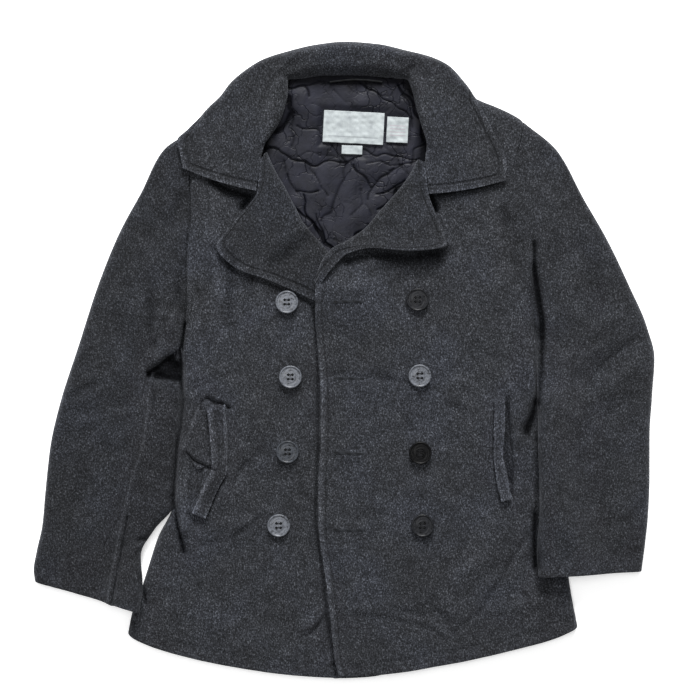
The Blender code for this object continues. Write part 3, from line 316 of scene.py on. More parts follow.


# Creases lie on top of the folds: soft troughs (negative) and ridges that
# fade out at both ends. bend bows one to its left, and steep narrows its left flank.
Crease = namedtuple("Crease", "name x0 y0 x1 y1 bend width height steep")
CREASES = (
    #      name                       x0    y0    x1    y1 bend width height steep
    Crease("under right leaf",      -174,  222, -171,  150,   2,  4,  -1.6, 0.6),
    Crease("right cap hollow",      -200,  224, -233,  156,   5,  9,  -1.8, 1.0),
    Crease("right scye pull",       -168,  120, -196,   60,   3,  8,  -1.2, 1.0),
    Crease("right chest drag",      -150,   96,  -88,  112,   6, 11,   0.9, 1.0),
    Crease("front edge pleat",       -52, -352,  -22, -312,  -2,  4,  -2.6, 0.5),
    Crease("front edge pleat lip",   -58, -346,  -28, -306,  -2,  6,   1.3, 1.0),
    Crease("right hem sag",         -182, -300,  -96, -322,  -5, 14,  -0.9, 1.0),
    Crease("pocket drag",           -117, -124, -144, -170,  -5,  4,  -1.6, 0.7),
    Crease("pocket drag hollow",    -138, -152,  -84, -104,   5,  7,  -1.1, 1.0),
    Crease("pocket lower drag",     -150, -178, -112, -158,   4,  6,   0.9, 0.7),
    Crease("skirt drag",            -162, -236, -104, -196,   6,  7,   1.1, 0.7),
    Crease("skirt drag hollow",     -156, -252, -112, -226,   6,  9,  -0.9, 1.0),
    Crease("right side pull",       -204,  -60, -186,  -10,   4,  8,   1.0, 1.0),
    Crease("left hem pleat",         100, -316,  133, -340,   9,  5,  -1.8, 0.6),
    Crease("left hem pleat end",     133, -336,  136, -352,   0,  4,  -1.4, 1.0),
    Crease("left skirt ridge 2",     190, -318,  284, -300,   5,  9,   1.3, 0.7),
    Crease("left skirt hollow 2",    168, -312,  222, -286,   5, 10,  -1.2, 1.0),
    Crease("left hip drag",          150, -236,  226, -190,   8, 12,   0.9, 1.0),
    Crease("placket ripple",         -14, -248,  -13, -304,   2,  4,  -1.0, 0.7),
    Crease("placket ripple 2",        -4, -214,   -2, -262,   2,  6,   0.7, 1.0),
    Crease("left chest ridge 2",     186,  214,  176,  138,   5,  8,   1.1, 0.7),
    Crease("left scye hollow",       212,  190,  202,   96,   6,  9,  -1.3, 1.0),
    Crease("left scye ridge",        196,   60,  214,  150,   6,  8,   0.9, 0.7),
    Crease("left waist pull",        240,  -52,  218,  -98,   5,  6,  -3.6, 0.7),
    Crease("left chest drag",         60,   96,  118,  104,   6, 10,  -0.8, 1.0),
    Crease("armpit fold",           -254,   -4, -218,   26,   3,  7,   1.2, 0.6),
    Crease("armpit tail",           -246,  -20, -240,  -72,   3,  6,  -2.2, 0.6),
    Crease("right sleeve seam up",  -222,   30, -246,  -14,   3,  6,   1.6, 0.6),
    Crease("inner sleeve tuck",     -266, -228, -240, -226,   2,  4,  -2.8, 0.6),
    Crease("inner sleeve tuck lip", -268, -236, -242, -234,   2,  5,   1.6, 1.0),
    Crease("right upper drag",      -262,  150, -232,  104,   5,  9,   1.2, 1.0),
    Crease("right upper drag 2",    -300,   84, -250,   40,   8, 12,   1.4, 0.7),
    Crease("right elbow crease",    -352,  -56, -292,  -26,   6,  6,  -1.8, 0.6),
    Crease("right elbow crease 2",  -346,  -92, -300,  -74,   5,  7,   1.2, 1.0),
    Crease("right forearm hollow",  -330, -120, -346, -196,   6, 10,  -1.3, 1.0),
    Crease("right cuff pull",       -362, -250, -318, -232,   4,  7,   0.9, 1.0),
    Crease("left elbow crease",      374,   30,  302,  -30,  -5,  3,  -1.6, 0.6),
    Crease("left elbow crease 2",    366,   -4,  318,  -44,  -4,  8,   0.8, 1.0),
    Crease("left elbow crease 3",    352,   58,  300,   24,  -4,  7,   1.2, 1.0),
    Crease("left upper drag",        262,  176,  258,   96,   5,  8,  -1.3, 0.7),
    Crease("left upper drag 2",      290,  150,  276,   70,   6, 10,   1.3, 1.0),
    Crease("left forearm drag",      300,  -70,  268, -130,   5,  9,  -1.1, 1.0),
    Crease("left forearm drag 2",    352, -120,  330, -210,   6, 12,   1.0, 1.0),
    Crease("left cuff pull",         282, -222,  262, -256,   3,  7,  -0.9, 1.0),
    Crease("side fold lip",         -208, -130, -196, -240,  -3,  6,   1.6, 1.0),
    Crease("left armhole slit lip",  231,  150,  229,   80,   0,  6,   1.6, 1.0),
    Crease("welt shadow",           -152,  -58, -147, -138,  -3,  4,  -2.4, 0.7),
    Crease("welt shadow low",       -147, -140, -174, -200,  -3,  4,  -2.2, 0.7),
    Crease("bag line",              -196, -126, -194, -196,   2,  3,  -1.6, 0.7),
    Crease("left slot front",        187,  -50,  193, -176,  -3,  4,  -1.6, 0.7),
    Crease("right chest fold",      -118,  132, -130,   40,   6,  9,  -1.4, 0.7),
    Crease("right chest fold lip",  -104,  120, -116,   30,   6,  9,   1.0, 1.0),
    Crease("right scye ridge",      -196,  118, -200,   62,   4,  5,   1.6, 0.7),
    Crease("right scye hollow",     -214,   96, -222,   52,   4,  8,  -2.0, 0.8),
    Crease("right sleeve ridge",    -206,   84, -232,   20,   5,  6,   1.6, 0.7),
    Crease("right cap drag",        -232,  204, -262,  120,   5, 10,  -1.0, 1.0),
    Crease("right skirt drag low",  -186, -232, -116, -214,   7,  8,  -1.5, 0.8),
    Crease("right side dent",       -206, -214, -196, -256,   3,  6,  -2.2, 0.7),
    Crease("right hem hollow",      -250, -306, -224, -280,   3, 10,  -1.2, 1.0),
    Crease("left bosom ridge",         0,  104,   40,   40,   5, 15,   1.1, 1.0),
    Crease("left bosom hollow",       24,  -14,   62,  -34,   5,  9,  -1.3, 0.8),
    Crease("left drag to button",     60,  -62,   84,  -96,   4,  7,  -1.3, 0.7),
    Crease("left drag ridge",        130,  -20,  190,  -70,   6,  9,   1.1, 0.8),
    Crease("left drag hollow",       110,  -52,  166,  -84,   6,  8,  -1.2, 0.8),
    Crease("left hem line",           50, -312,  120, -330,   4,  5,  -1.6, 0.6),
    Crease("left skirt ridge 3",     120, -292,  196, -232,   6,  9,   1.3, 0.7),
    Crease("left skirt hollow 3",    134, -314,  214, -244,   6,  8,  -1.2, 0.8),
    Crease("left placket drag",        0, -206,   66, -196,   5,  8,  -1.0, 1.0),
    Crease("left cap fold",          186,  196,  206,  150,   4,  8,  -1.4, 0.8),
    Crease("left sleeve top ridge",  236,  226,  266,  176,   5,  9,   1.2, 0.8),
    Crease("left sleeve elbow fold", 268,  -30,  346,   34,   6,  5,   1.0, 0.6),
    Crease("left sleeve elbow dip",  274,  -46,  352,   20,   6,  6,  -0.5, 0.7),
    Crease("left forearm fold",      262,  -60,  316,  -96,   5,  8,   1.0, 0.8),
    Crease("left forearm dent",      270, -190,  330, -176,   5, 10,  -1.0, 1.0),
    Crease("right forearm dent",    -350, -206, -292, -222,   5,  9,   1.0, 0.8),
)
# Long seams and folds that keep their form along the whole line; troughs get painted shade, ridges
# painted highlight.
Line = namedtuple("Line", "name width height points")
LINES = (
    Line("beside the front edge", 2.4, -3.4, (
        (-41, 66), (-38, 40), (-35, -20), (-34.5, -110), (-37.5, -180), (-36.5, -215),
        (-28.5, -275), (-21.5, -335), (-12.5, -396))),
    Line("front edge ridge", 3.0, 1.5, (
        (-32, 100), (-33, 66), (-30, 40), (-27, -20), (-26.5, -110), (-29.5, -180),
        (-28.5, -215), (-20.5, -275), (-13.5, -335), (-4.5, -396))),
    Line("left armhole slit", 3.4, -5.0, (
        (236, 144), (236, 112), (241, 80), (246, 45), (246, 12), (243, -25), (239, -56))),
    Line("left armhole hollow", 8.0, -2.6, ((235, 112), (239, 75), (244, 30))),
    Line("left side shade", 5.5, -3.4, ((238, -54), (234, -74), (228, -92))),
    Line("left side shade tail", 6.0, -1.3, ((228, -92), (216, -112))),
    Line("left side hollow", 4.6, -5.2, ((237.5, -195), (236.5, -225), (237.5, -260))),
    Line("left side line", 2.4, -2.6, ((240, -100), (240, -150), (238, -188))),
    Line("right armhole seam", 2.0, -2.2, (
        (-195, 225), (-195, 169), (-199, 144), (-200, 120), (-199, 75), (-204, 12))),
    Line("right body side", 2.2, -5.4, (
        (-201, 44), (-206, 13), (-206, -25), (-203.5, -50), (-206.5, -87), (-212, -112),
        (-214, -137), (-216, -169))),
    Line("right sleeve seam ridge", 2.2, 2.8, (
        (-242, -19), (-246, -69), (-252, -112), (-265, -150), (-277, -200), (-287, -250),
        (-296, -305))),
    Line("side fold line", 2.6, -5.6, ((-217, -172), (-210, -212), (-203, -242))),
    Line("cuff on the side", 2.2, -5.0, ((-255, -268), (-252, -290), (-250, -306))),
    Line("right sleeve seam shade", 1.7, -3.0, ((-272, -196), (-282, -250), (-291, -303))),
    Line("right sleeve soft fold", 5.0, 1.8, ((-214, 84), (-235, 46), (-238, 26))),
    Line("right sleeve soft hollow", 8.0, -1.8, ((-243, 80), (-244, 45), (-238, 18))),
    Line("beside the armhole", 5.0, -1.8, ((-206, 118), (-209, 86), (-206, 60))),
    Line("right chest drape", 7.0, 1.1, ((-165, 200), (-163, 150), (-158, 70))),
    Line("right chest hollow", 6.5, -1.8, ((-143, 118), (-146, 80), (-148, 42))),
    Line("right lapel hollow", 9.0, -2.2, ((-92, 120), (-72, 132), (-48, 152))),
    Line("hip drag", 4.0, -1.7, ((-176, -232), (-140, -222), (-103, -195))),
    Line("hem drag", 2.8, -1.5, ((137, -340), (165, -318), (195, -272), (222, -228))),
    Line("hem drag lip", 4.0, 0.8, ((146, -342), (173, -320), (203, -274), (228, -232))),
    Line("left hem line", 3.0, -1.7, ((8, -318), (60, -325), (108, -338), (128, -352))),
    Line("left waist drag", 3.4, -1.5, ((-14, -18), (40, -24), (92, -30))),
    Line("left sleeve hollow", 12.0, -1.2, ((288, 150), (306, 112), (316, 82))),
    Line("beside the sleeve", 6.0, -1.2, ((-214, -24), (-214, -58))),
    Line("armpit", 3.4, -5.4, ((-246, -18), (-226, -4), (-208, 9))),
    Line("armpit middle", 6.5, -5.0, ((-232, -17), (-222, -13), (-212, -8))),
    Line("armpit end", 6.0, -6.0, ((-219, -3), (-212, -16))),
    Line("armpit low", 3.6, -5.0, ((-246, -21), (-226, -23), (-210, -24))),
    Line("pocket's own edge", 2.2, 2.8, (
        (-176, -52), (-185, -70), (-199, -102), (-203, -113), (-196, -122))),
    Line("pocket's inner side", 2.0, 1.6, ((-200, -134), (-200, -170))),
    Line("pocket foot", 2.2, -3.0, ((-197, -194), (-190, -203))),
    Line("pocket mouth", 1.9, -4.4, (
        (-181, -64), (-180, -54), (-172.5, -49), (-166, -54), (-155, -56), (-145, -62))),
    Line("pocket knee", 2.2, -4.0, ((-199, -117), (-190, -127), (-162, -140))),
    Line("left pocket slot", 3.6, -3.2, ((200, -58), (202, -90), (201, -120), (205, -152))),
    Line("left slot edge", 1.6, -3.4, ((202.5, -47), (207, -87), (209, -137), (208, -170))),
)
# These lie on the right pocket's own pieces.
POCKET_LINES = (
    Line("welt stitching", 1.5, -2.2, ((-154, -64), (-154, -100), (-150.5, -119), (-151, -140))),
    Line("welt rolled edge", 2.4, 1.1, (
        (-169, -62), (-167, -100), (-160, -125), (-158, -137), (-173, -158), (-182, -176),
        (-189, -196))),
    Line("pocket mouth hook", 1.7, -4.6, ((-182, -66), (-181, -56), (-175, -49))),
    Line("facing knee", 2.0, -4.4, ((-199, -117), (-190, -127), (-176, -134), (-164, -140))),
    Line("facing edge", 2.2, 2.6, ((-182, -66), (-190, -84), (-199, -106))),
)
# These sink and darken only the fronts: painted shade where the turned cloth over them keeps out
# the light.
UNDER_LINES = (
    Line("under the left lapel", 8.0, -3.8, ((2, 122), (34, 130), (80, 127), (124, 134))),
    Line("far under the left lapel", 13.0, -1.6, ((50, 118), (86, 112), (112, 122))),
    Line("under the right leaf", 6.5, -5.0, ((-166, 222), (-150, 212), (-120, 203), (-128, 191))),
    Line("under the left leaf", 5.0, -4.0, ((118, 206), (150, 212), (182, 220))),
    Line("left notch", 4.5, -6.0, ((107, 205), (113, 186))),
    Line("under the right lapel", 3.0, -2.6, (
        (-164, 136), (-136, 108), (-100, 96), (-67, 82), (-38, 68))),
)
# The same on the collar, whose surface stands apart from the body's.
COLLAR_CREASES = (
    Crease("right roll ridge",      -106,  205, -102,  304,  -3,  5,   1.9, 0.9),
    Crease("right roll ridge 2",    -104,  286,  -72,  368,   3,  5,   1.9, 0.9),
    Crease("left roll ridge",        101,  205,   96,  304,   0,  5,   1.8, 0.9),
    Crease("left roll ridge 2",       97,  286,   92,  356,   0,  5,   1.6, 0.9),
    Crease("top of the roll",        -90,  378,   96,  378,   4, 13,   1.5, 1.0),
    Crease("right stand ridge",      -64,  388,  -98,  350,   5,  4,   2.0, 0.7),
    Crease("right stand hollow",     -54,  382,  -84,  348,   4,  6,  -1.2, 1.0),
    Crease("left stand ridge",       100,  380,  118,  354,  -4,  5,   1.6, 0.7),
    Crease("left stand crease",       88,  368,   68,  354,   2,  5,  -2.0, 0.7),
    Crease("left roll pull",         104,  352,  112,  300,  -4,  7,   0.9, 1.0),
    Crease("right roll pull",        -92,  330, -112,  270,   6,  8,   0.9, 1.0),
    Crease("right leaf wave",       -188,  276, -150,  244,   5, 12,   0.9, 1.0),
    Crease("left leaf wave",         184,  262,  146,  240,  -5, 12,   0.8, 1.0),
    Crease("back fall wave",         -30,  372,   36,  374,   5, 10,  -0.8, 1.0),
)

NECK_LINING_LEVELS = (
    #  y  x_low x_high
    (112, -18, 12),
    (135, -45, 30),
    (165, -72, 60),
    (200, -95, 85),
    (240, -112, 104),
    (285, -106, 106),
    (320, -96, 100),
    (338, -84, 86),
    (355, -68, 72),
)

Patch = namedtuple("Patch", "name x y width length turn")
PATCHES = (
    #      name           x    y  width length turn (degrees)
    Patch("label_main",   10, 290,  76,  40,  -3),
    Patch("label_side",   65, 287,  27,  32,  -3),
    Patch("label_size",    8, 262,  26,  11,  -2),
)

# The lining's gathers: sharp little valleys, painted dark as shade, between smooth padded facets.
LINING_LINES = (
    Line("top left corner", 1.2, -2.0, ((-80, 339), (-54, 341), (-44, 331))),
    Line("left shade", 3.1, -2.5, ((-71, 327), (-66, 310), (-75, 298), (-86, 286))),
    Line("left upright", 1.0, -1.5, ((-66, 304), (-67.5, 266))),
    Line("label left", 1.0, -2.0, ((-60, 291), (-36, 287.5), (-11, 262.5), (0, 246))),
    Line("left gather", 1.4, -2.5, (
        (-104, 262.5), (-84, 264), (-67.5, 250), (-40, 244), (-15, 249), (0, 246))),
    Line("left gather thin", 0.8, -1.2, ((-67.5, 254), (-40, 257), (-15, 256))),
    Line("label foot", 1.0, -2.0, ((0, 246), (10, 250), (20, 256))),
    Line("right gather", 1.1, -2.0, ((20, 266), (39, 254), (66, 254), (92, 251))),
    Line("right gather thin", 0.9, -1.5, ((26, 245), (45, 247.5), (72.5, 242.5))),
    Line("right fan", 1.0, -1.7, ((52.5, 237.5), (70, 241), (89, 250))),
    Line("centre right", 1.3, -2.4, ((10, 244), (20, 231), (32.5, 217.5))),
    Line("right rise", 1.2, -2.0, ((32.5, 217.5), (47.5, 229), (60, 241))),
    Line("right stem", 1.1, -1.7, ((29, 200), (35, 219))),
    Line("centre left", 1.3, -1.5, ((0, 244), (-2.5, 229), (-11, 206), (-21, 185), (-27.5, 174))),
    Line("left drop", 0.9, -1.5, ((-46, 241), (-35, 225), (-31, 212.5), (-21, 206))),
    Line("left shelf", 1.1, -2.2, ((-62.5, 210), (-35, 210))),
    Line("left side", 1.2, -1.7, ((-77.5, 247.5), (-71, 225), (-61, 206))),
    Line("V inner", 1.1, -2.2, ((-52.5, 206), (-47.5, 175), (-24, 144), (-16, 137.5))),
    Line("V outer", 1.6, -2.9, ((-62.5, 187.5), (-40, 169), (-17.5, 137.5))),
    Line("V third", 1.0, -1.9, ((-36, 181), (-27.5, 150), (-15, 137.5))),
    Line("right shelf", 1.2, -2.2, ((39, 206), (64, 212.5), (72.5, 224))),
    Line("right edge", 1.3, -2.5, ((41, 187.5), (57.5, 200), (72, 218))),
    Line("right edge low", 1.2, -2.4, ((12, 155), (27.5, 169))),
    Line("soft centre", 1.3, -1.0, ((7.5, 181), (20, 194), (21, 212.5))),
    Line("soft right", 1.2, -1.0, ((25, 194), (32.5, 179))),
    Line("top right sweep", 1.1, -2.2, (
        (20, 347), (39, 331), (57.5, 322.5), (70, 312.5), (85, 302))),
    Line("top right corner", 1.5, -2.5, ((66, 342), (82.5, 319), (95, 300), (99, 272))),
    Line("right double", 1.0, -1.7, ((72, 330), (84, 306), (84, 290))),
    Line("right band", 0.9, -1.2, ((79, 275), (82.5, 298))),
    Line("right knot", 1.0, -1.5, ((82.5, 244), (85, 262.5), (97.5, 269))),
    Line("right low", 0.9, -1.4, ((64, 256), (76, 231))),
    Line("under label right", 0.8, -1.0, ((47.5, 269), (57.5, 254))),
    Line("top seam", 1.0, -1.2, ((-54, 341), (-30, 346), (1, 347.5))),
    Line("top wave", 1.3, -0.8, ((-14, 336), (2, 322))),
    Line("above label left", 0.8, -1.0, ((-42, 321), (-27.5, 312))),
)

Strip = namedtuple("Strip", "x y width")
LEFT_WELT = (
    #      x    y  width
    Strip(192, -47, 11),
    Strip(192, -85, 10),
    Strip(190, -118, 10),
    Strip(195, -150, 12),
    Strip(201, -177, 12),
)
RIGHT_WELT = (
    Strip(-162, -60, 22),
    Strip(-158, -98, 21),
    Strip(-157, -135, 18),
    Strip(-169, -162, 17),
    Strip(-183, -196, 16),
)
RIGHT_POCKET_FACING = (
    Strip(-179, -58, 9),
    Strip(-183, -85, 18),
    Strip(-186, -112, 25),
    Strip(-178, -136, 16),
)

BUTTONHOLES = (71.0, -25.0, -118.0, -214.0)   # their heights up the over front
BUTTONHOLE_X = (-15.0, 22.5)
SLIT_HALF = (0.35, 1.4)  # half width of a slit, and of its keyhole end
SLIT_POINTS = (44, 5)   # along a slit and across it
EYE = 2.7               # a thread hole's centre, in x and in y, from its button's
EYES = ((-EYE, -EYE), (EYE, -EYE), (EYE, EYE), (-EYE, EYE))
BUTTON_THICKNESS = 4.5
BUTTON_SIDES = 96
DISH_RINGS = 15
HOLE_DEPTH = 1.7
HOLE_EDGE = 0.35        # a hole's rim is rounded this far to both sides
DISH_WAVE = 0.16        # height of the faint relief in the dish
EYE_RIDGE = 0.25        # and of the raised round that carries the holes
THREAD_SPREAD = 0.45    # the two threads of a bar lie this far to both sides
BUTTON_THREAD = 0.5     # radius of one
POCKET_COLUMNS = 16
POCKET_GRID = 1.3
POCKET_LIFT = 0.2       # a pocket piece's edges over the cloth below, besides its own wall
POCKET_RELIEF = 0.3     # share of its lines that also moves its surface
HEM_DEPTH = 17.0        # turned-up allowance, which lifts the hem a little
COLLAR_EDGE_COLUMN = 33  # the collar's last column on top, before it turns under
# The over lapel grows out of the front's edge: two rows below its solid's first one.
LEFT_LAPEL_LEAD = (
    Upper("lead end",     229,   85,  -38.3,  94, 24.6, 2.6,          -33,   92, 26.0),
    Upper("lead",         226,   90,  -37.0, 101, 24.6, 3.8,          -28,   97, 29.2),
)
LAPEL_BREAK_Y = 76.0    # the front edge is straight below this
LOOP_MIDDLE = (13.0, 346.0)
LOOP_LENGTH = 66.0
LOOP_BOW = 3.0
LOOP_RADIUS = 1.4
LOOP_LIFT = 2.4         # its middle line over the lining
LABEL_GRID = 1.0
LABEL_LIFT = 2.2        # a label's under face over the lining
LINING_COLUMNS = 136
LINING_LIFT = 0.6
LABEL_LINE = (-12.0, 0.6, 32.0, 0.5)     # up the label, half width, half length, strength
STRIPES = (4.0, 0.8, 10.0, -8.0, 9.0, 0.75)  # apart, half width, half length, from, to, strength
COLLAR_WAVE = (0.45, 60.0, 31)           # height, wavelength and seed
LINING_PADDING = 2.4
LINING_WAVES = (        # share, wavelength and seed: warps in x and y, padding
    (1.6, 26.0, 21), (1.6, 24.0, 22), (0.8, 44.0, 25),
)
NECK_SHADE = (-3.2, 13.0)                # depth and width of the shade at the lining's rim
HEM_RISE = 1.1
HEM_MARK = (-2.0, 2.2)  # depth and width of the line of painted shade where the turned-up hem ends inside
STITCH_SINK = 0.15
WELT_INSET = 4.0        # a welt's stitching in from its edges

EDGE_DISTANCE = "edge distance"
SHARP_RELIEF = "sharp relief"
FAR = 50.0              # from any finished edge
# Painted light and shade: how light the melton is drawn on each part, as shares of its own tone.
PAINTED_LIGHT_SHARES = {
    "body": 0.89,
    "lapels": 0.64,
    "collar": 0.74,
    "right sleeve": 0.65,
    "left sleeve": 0.76,
}
RIM_SHARE = 0.4         # of a wall, rounded off at each rim
LABEL_BAND = "label band"
FIT = 0.012             # how far, in metres, a surface may pass its solid's box
SURFACES = {}


def ease(low, high, value):
    """0 at low, 1 at high, smooth between; low may be the larger."""
    t = np.clip((np.asarray(value, float) - low) / (high - low), 0.0, 1.0)
    return t * t * (3.0 - 2.0 * t)


def mix(a, b, t):
    """a at 0, b at 1, straight between."""
    return a + (b - a) * t


def along(points):
    """Length along a line of points, up to each of them."""
    steps = np.linalg.norm(np.diff(points, axis=0), axis=-1)
    return np.concatenate([[0.0], np.cumsum(steps)])


def smooth_through(knots, values, at):
    """Monotone cubic through the values: it passes each one and never overshoots."""
    step = np.diff(knots).reshape((-1,) + (1,) * (values.ndim - 1))
    slope = np.diff(values, axis=0) / step
    tangent = np.zeros_like(values)
    before, after = slope[:-1], slope[1:]
    far, near = 2.0 * step[1:] + step[:-1], step[1:] + 2.0 * step[:-1]
    same_way = before * after > 1e-12
    safe_before = np.where(same_way, before, 1.0)
    safe_after = np.where(same_way, after, 1.0)
    mean = (far + near) / (far / safe_before + near / safe_after)
    tangent[1:-1] = np.where(same_way, mean, 0.0)
    tangent[0], tangent[-1] = slope[0], slope[-1]
    k = np.clip(np.searchsorted(knots, at, side="right") - 1, 0, len(knots) - 2)
    t = ((at - knots[k]) / np.diff(knots)[k]).reshape((-1,) + (1,) * (values.ndim - 1))
    h = step[k]
    return (
        (1.0 + 2.0 * t) * (1.0 - t) ** 2 * values[k]
        + t * (1.0 - t) ** 2 * h * tangent[k]
        + t * t * (3.0 - 2.0 * t) * values[k + 1]
        + t * t * (t - 1.0) * h * tangent[k + 1]
    )


def loft(rows, spacing):
    """Fine rows through the section rows, each an array of (x, y, z, share of the relief)."""
    rows = np.array(rows)
    between = np.linalg.norm(np.diff(rows[:, :, :3], axis=0), axis=2).mean(axis=1)
    knots = np.concatenate([[0.0], np.cumsum(between)])
    at = []
    for low, high in zip(knots, knots[1:]):
        count = max(int(round((high - low) / spacing)), 1)
        at.extend(low + (high - low) * np.arange(count) / count)
    return smooth_through(knots, rows, np.array(at + [knots[-1]]))


def bumps(table, x, y, tapered):
    """Height of the table's folds or creases over the cloth's even lie."""
    total = np.zeros_like(x)
    for row in table:
        run = np.array((row.x1 - row.x0, row.y1 - row.y0), float)
        length = np.hypot(*run)
        run /= length
        ahead = (x - row.x0) * run[0] + (y - row.y0) * run[1]
        left = (y - row.y0) * run[0] - (x - row.x0) * run[1]
        t = ahead / length
        beyond = np.maximum(np.maximum(-ahead, ahead - length), 0.0)
        width, height = row.width, row.height
        if tapered:
            left = left - row.bend * np.clip(4.0 * t * (1.0 - t), 0.0, 1.0)
            width = np.where(left > 0.0, row.width * row.steep, row.width)
            height = row.height * ease(0.0, 0.3, t) * ease(1.0, 0.65, t)
        total += height * np.exp(-(left**2 + beyond**2) / width**2)
    return total


def line_relief(table, x, y):
    """Height of the long seams and folds, each the same along its whole line."""
    total = np.zeros_like(x)
    for line in table:
        near = np.full_like(x, 1e3)
        for (x0, y0), (x1, y1) in zip(line.points, line.points[1:]):
            run = np.array((x1 - x0, y1 - y0), float)
            t = ((x - x0) * run[0] + (y - y0) * run[1]) / (run @ run)
            t = np.clip(t, 0.0, 1.0)
            near = np.minimum(near, np.hypot(x - x0 - t * run[0], y - y0 - t * run[1]))
        total += line.height * np.exp(-(near / line.width) ** 2)
    return total


def ripple(x, y, wave, seed):
    """Even, unrepeating unevenness of about the given wavelength, from -1 to 1 or so."""
    draw = np.random.default_rng(seed)
    total = np.zeros_like(x)
    waves = 9
    for _ in range(waves):
        heading = draw.uniform(0.0, math.tau)
        turns = math.tau / (wave * draw.uniform(0.7, 1.5))
        phase = draw.uniform(0.0, math.tau)
        total += np.sin((x * math.cos(heading) + y * math.sin(heading)) * turns + phase)
    return total / math.sqrt(waves)


def creased(x, y):
    """The sharper part of the wool's relief, painted as shade in its troughs and highlight on its
    ridges.
    """
    return CREASE_SHADE * bumps(CREASES, x, y, True) + line_relief(LINES, x, y)


def relief(x, y):
    """All that lifts or lowers the lying wool from its even surface."""
    total = FOLD_GAIN * bumps(FOLDS, x, y, False) + CREASE_GAIN * bumps(CREASES, x, y, True)
    total = total + line_relief(LINES, x, y)
    for height, wave, seed in UNEVENNESS:
        total = total + height * ripple(x, y, wave, seed)
    return total


def neck_raise(spots):
    """Lift of the back where the collar's fall lies hidden under it."""
    x, y = spots[..., 0], spots[..., 1]
    return NECK_RAISE * ease(*RAISE_Y, y) * ease(RAISE_X[1], RAISE_X[0], np.abs(x))


def section_points(start, end, bow, t, power):
    """Points at t on a line from start to end, bowed to its left by a rounded hump."""
    run = end - start
    left = np.array((-run[1], run[0])) / np.hypot(*run)
    t = np.asarray(t, float)[:, None]
    return start + run * t + left * bow * np.clip(4.0 * t * (1.0 - t), 0.0, 1.0) ** power


def stacked(spots, z, share):
    """One section row: plan points with their heights and their share of the relief."""
    share = np.broadcast_to(share, z.shape)
    return np.column_stack([spots, z, share])


def front_row(side, edge, bow, folded, front_z, laps, columns):
    """Points from a front's side or armhole to its front edge."""
    length = np.hypot(*(edge - side))
    turn = np.radians(np.linspace(0.0, 90.0, FOLD_STEPS))
    across = np.linspace(EDGE_FOLD, length, columns + 1)[1:]
    steps = np.concatenate([EDGE_FOLD * (1.0 - np.cos(turn)), across])
    drops = np.concatenate([1.0 - np.sin(turn), np.zeros(columns)]) * folded
    spots = section_points(side, edge, bow, steps / length, HEM_CURVE)
    top = np.full(len(steps), BODY_TOP)
    if laps:
        top += (OVERLAP_TOP - BODY_TOP) * ease(LAP_STARTS, LAP_ENDS, spots[:, 0])
        top = mix(top, front_z, ease(RISE_FROM_EDGE[1], RISE_FROM_EDGE[0], length - steps))
    floor = WOOL + SIDE_SEAM + neck_raise(spots)
    return stacked(spots, mix(top, floor, drops), 1.0 - drops)


def seam_back(end, start):
    """The end of a run, drawn back to leave a seam's gap."""
    return end + (start - end) / np.linalg.norm(start - end) * SEAM


def arm_of(upper):
    """A section's point on the armhole."""
    return np.array((upper.arm_x, upper.arm_y), float)


def shoulder_direction(uppers):
    """The way the armhole points where it reaches the shoulder."""
    run = arm_of(uppers[-1]) - arm_of(uppers[-2])
    return run / np.linalg.norm(run)


def front_surface(lowers, uppers, laps):
    """A front from its hem to its shoulder, with the rounded folds at side and shoulder."""
    widest = max(abs(low.edge_x - low.side_x) for low in lowers)
    columns = int(widest / GRID)
    rows = []
    for low in lowers:
        side = np.array((low.side_x, low.side_y), float)
        edge = np.array((low.edge_x, low.edge_y), float)
        rows.append(front_row(side, edge, low.bow, 1.0, low.edge_z, laps, columns))
    for upper in uppers:
        edge = np.array((upper.roll_x, upper.roll_y), float)
        if upper.roll:
            lapel = np.array((upper.lapel_x, upper.lapel_y), float)
            inset = (lapel - edge) / np.linalg.norm(lapel - edge)
            edge = seam_back(edge + inset * (upper.roll + LAPEL_LEG), arm_of(upper))
        bow = 0.0
        if upper.name == "shoulder":
            bow = -SHOULDER_BOW if laps else SHOULDER_BOW
        arm = seam_back(arm_of(upper), edge)
        rows.append(front_row(arm, edge, bow, 0.0, upper.front_z, laps, columns))
    fine = loft(rows, GRID)
    out = shoulder_direction(uppers) * EDGE_FOLD
    over = []
    for turn in np.radians(np.linspace(0.0, 90.0, FOLD_STEPS)[1:]):
        drop = 1.0 - math.cos(turn)
        spots = fine[-1][:, :2] + out * math.sin(turn)
        floor = WOOL + SHOULDER_SEAM + neck_raise(spots)
        over.append(stacked(spots, mix(fine[-1][:, 2], floor, drop), 1.0 - drop))
    return np.concatenate([fine, over])


def lapel_row(upper):
    """From the front's edge round the roll and back to the lapel's outer edge."""
    roll = np.array((upper.roll_x, upper.roll_y), float)
    lapel = np.array((upper.lapel_x, upper.lapel_y), float)
    width = np.linalg.norm(lapel - roll)
    across = (lapel - roll) / width
    centre_z = upper.front_z - WOOL + upper.roll
    turn = np.radians(np.linspace(-90.0, -270.0, 13))
    round_it = upper.roll * (1.0 + np.cos(turn))
    leaf = np.linspace(0.0, 1.0, 15)[1:]
    distance = np.concatenate([
        np.linspace(upper.roll + LAPEL_LEG, upper.roll, 3)[:-1],
        round_it,
        mix(upper.roll, width, leaf),
    ])
    z = np.concatenate([
        np.full(2, centre_z - upper.roll),
        centre_z + upper.roll * np.sin(turn),
        mix(centre_z + upper.roll, upper.lapel_z, ease(0.0, 1.0, leaf)),
    ])
    return stacked(roll + across * distance[:, None], z, 1.0)


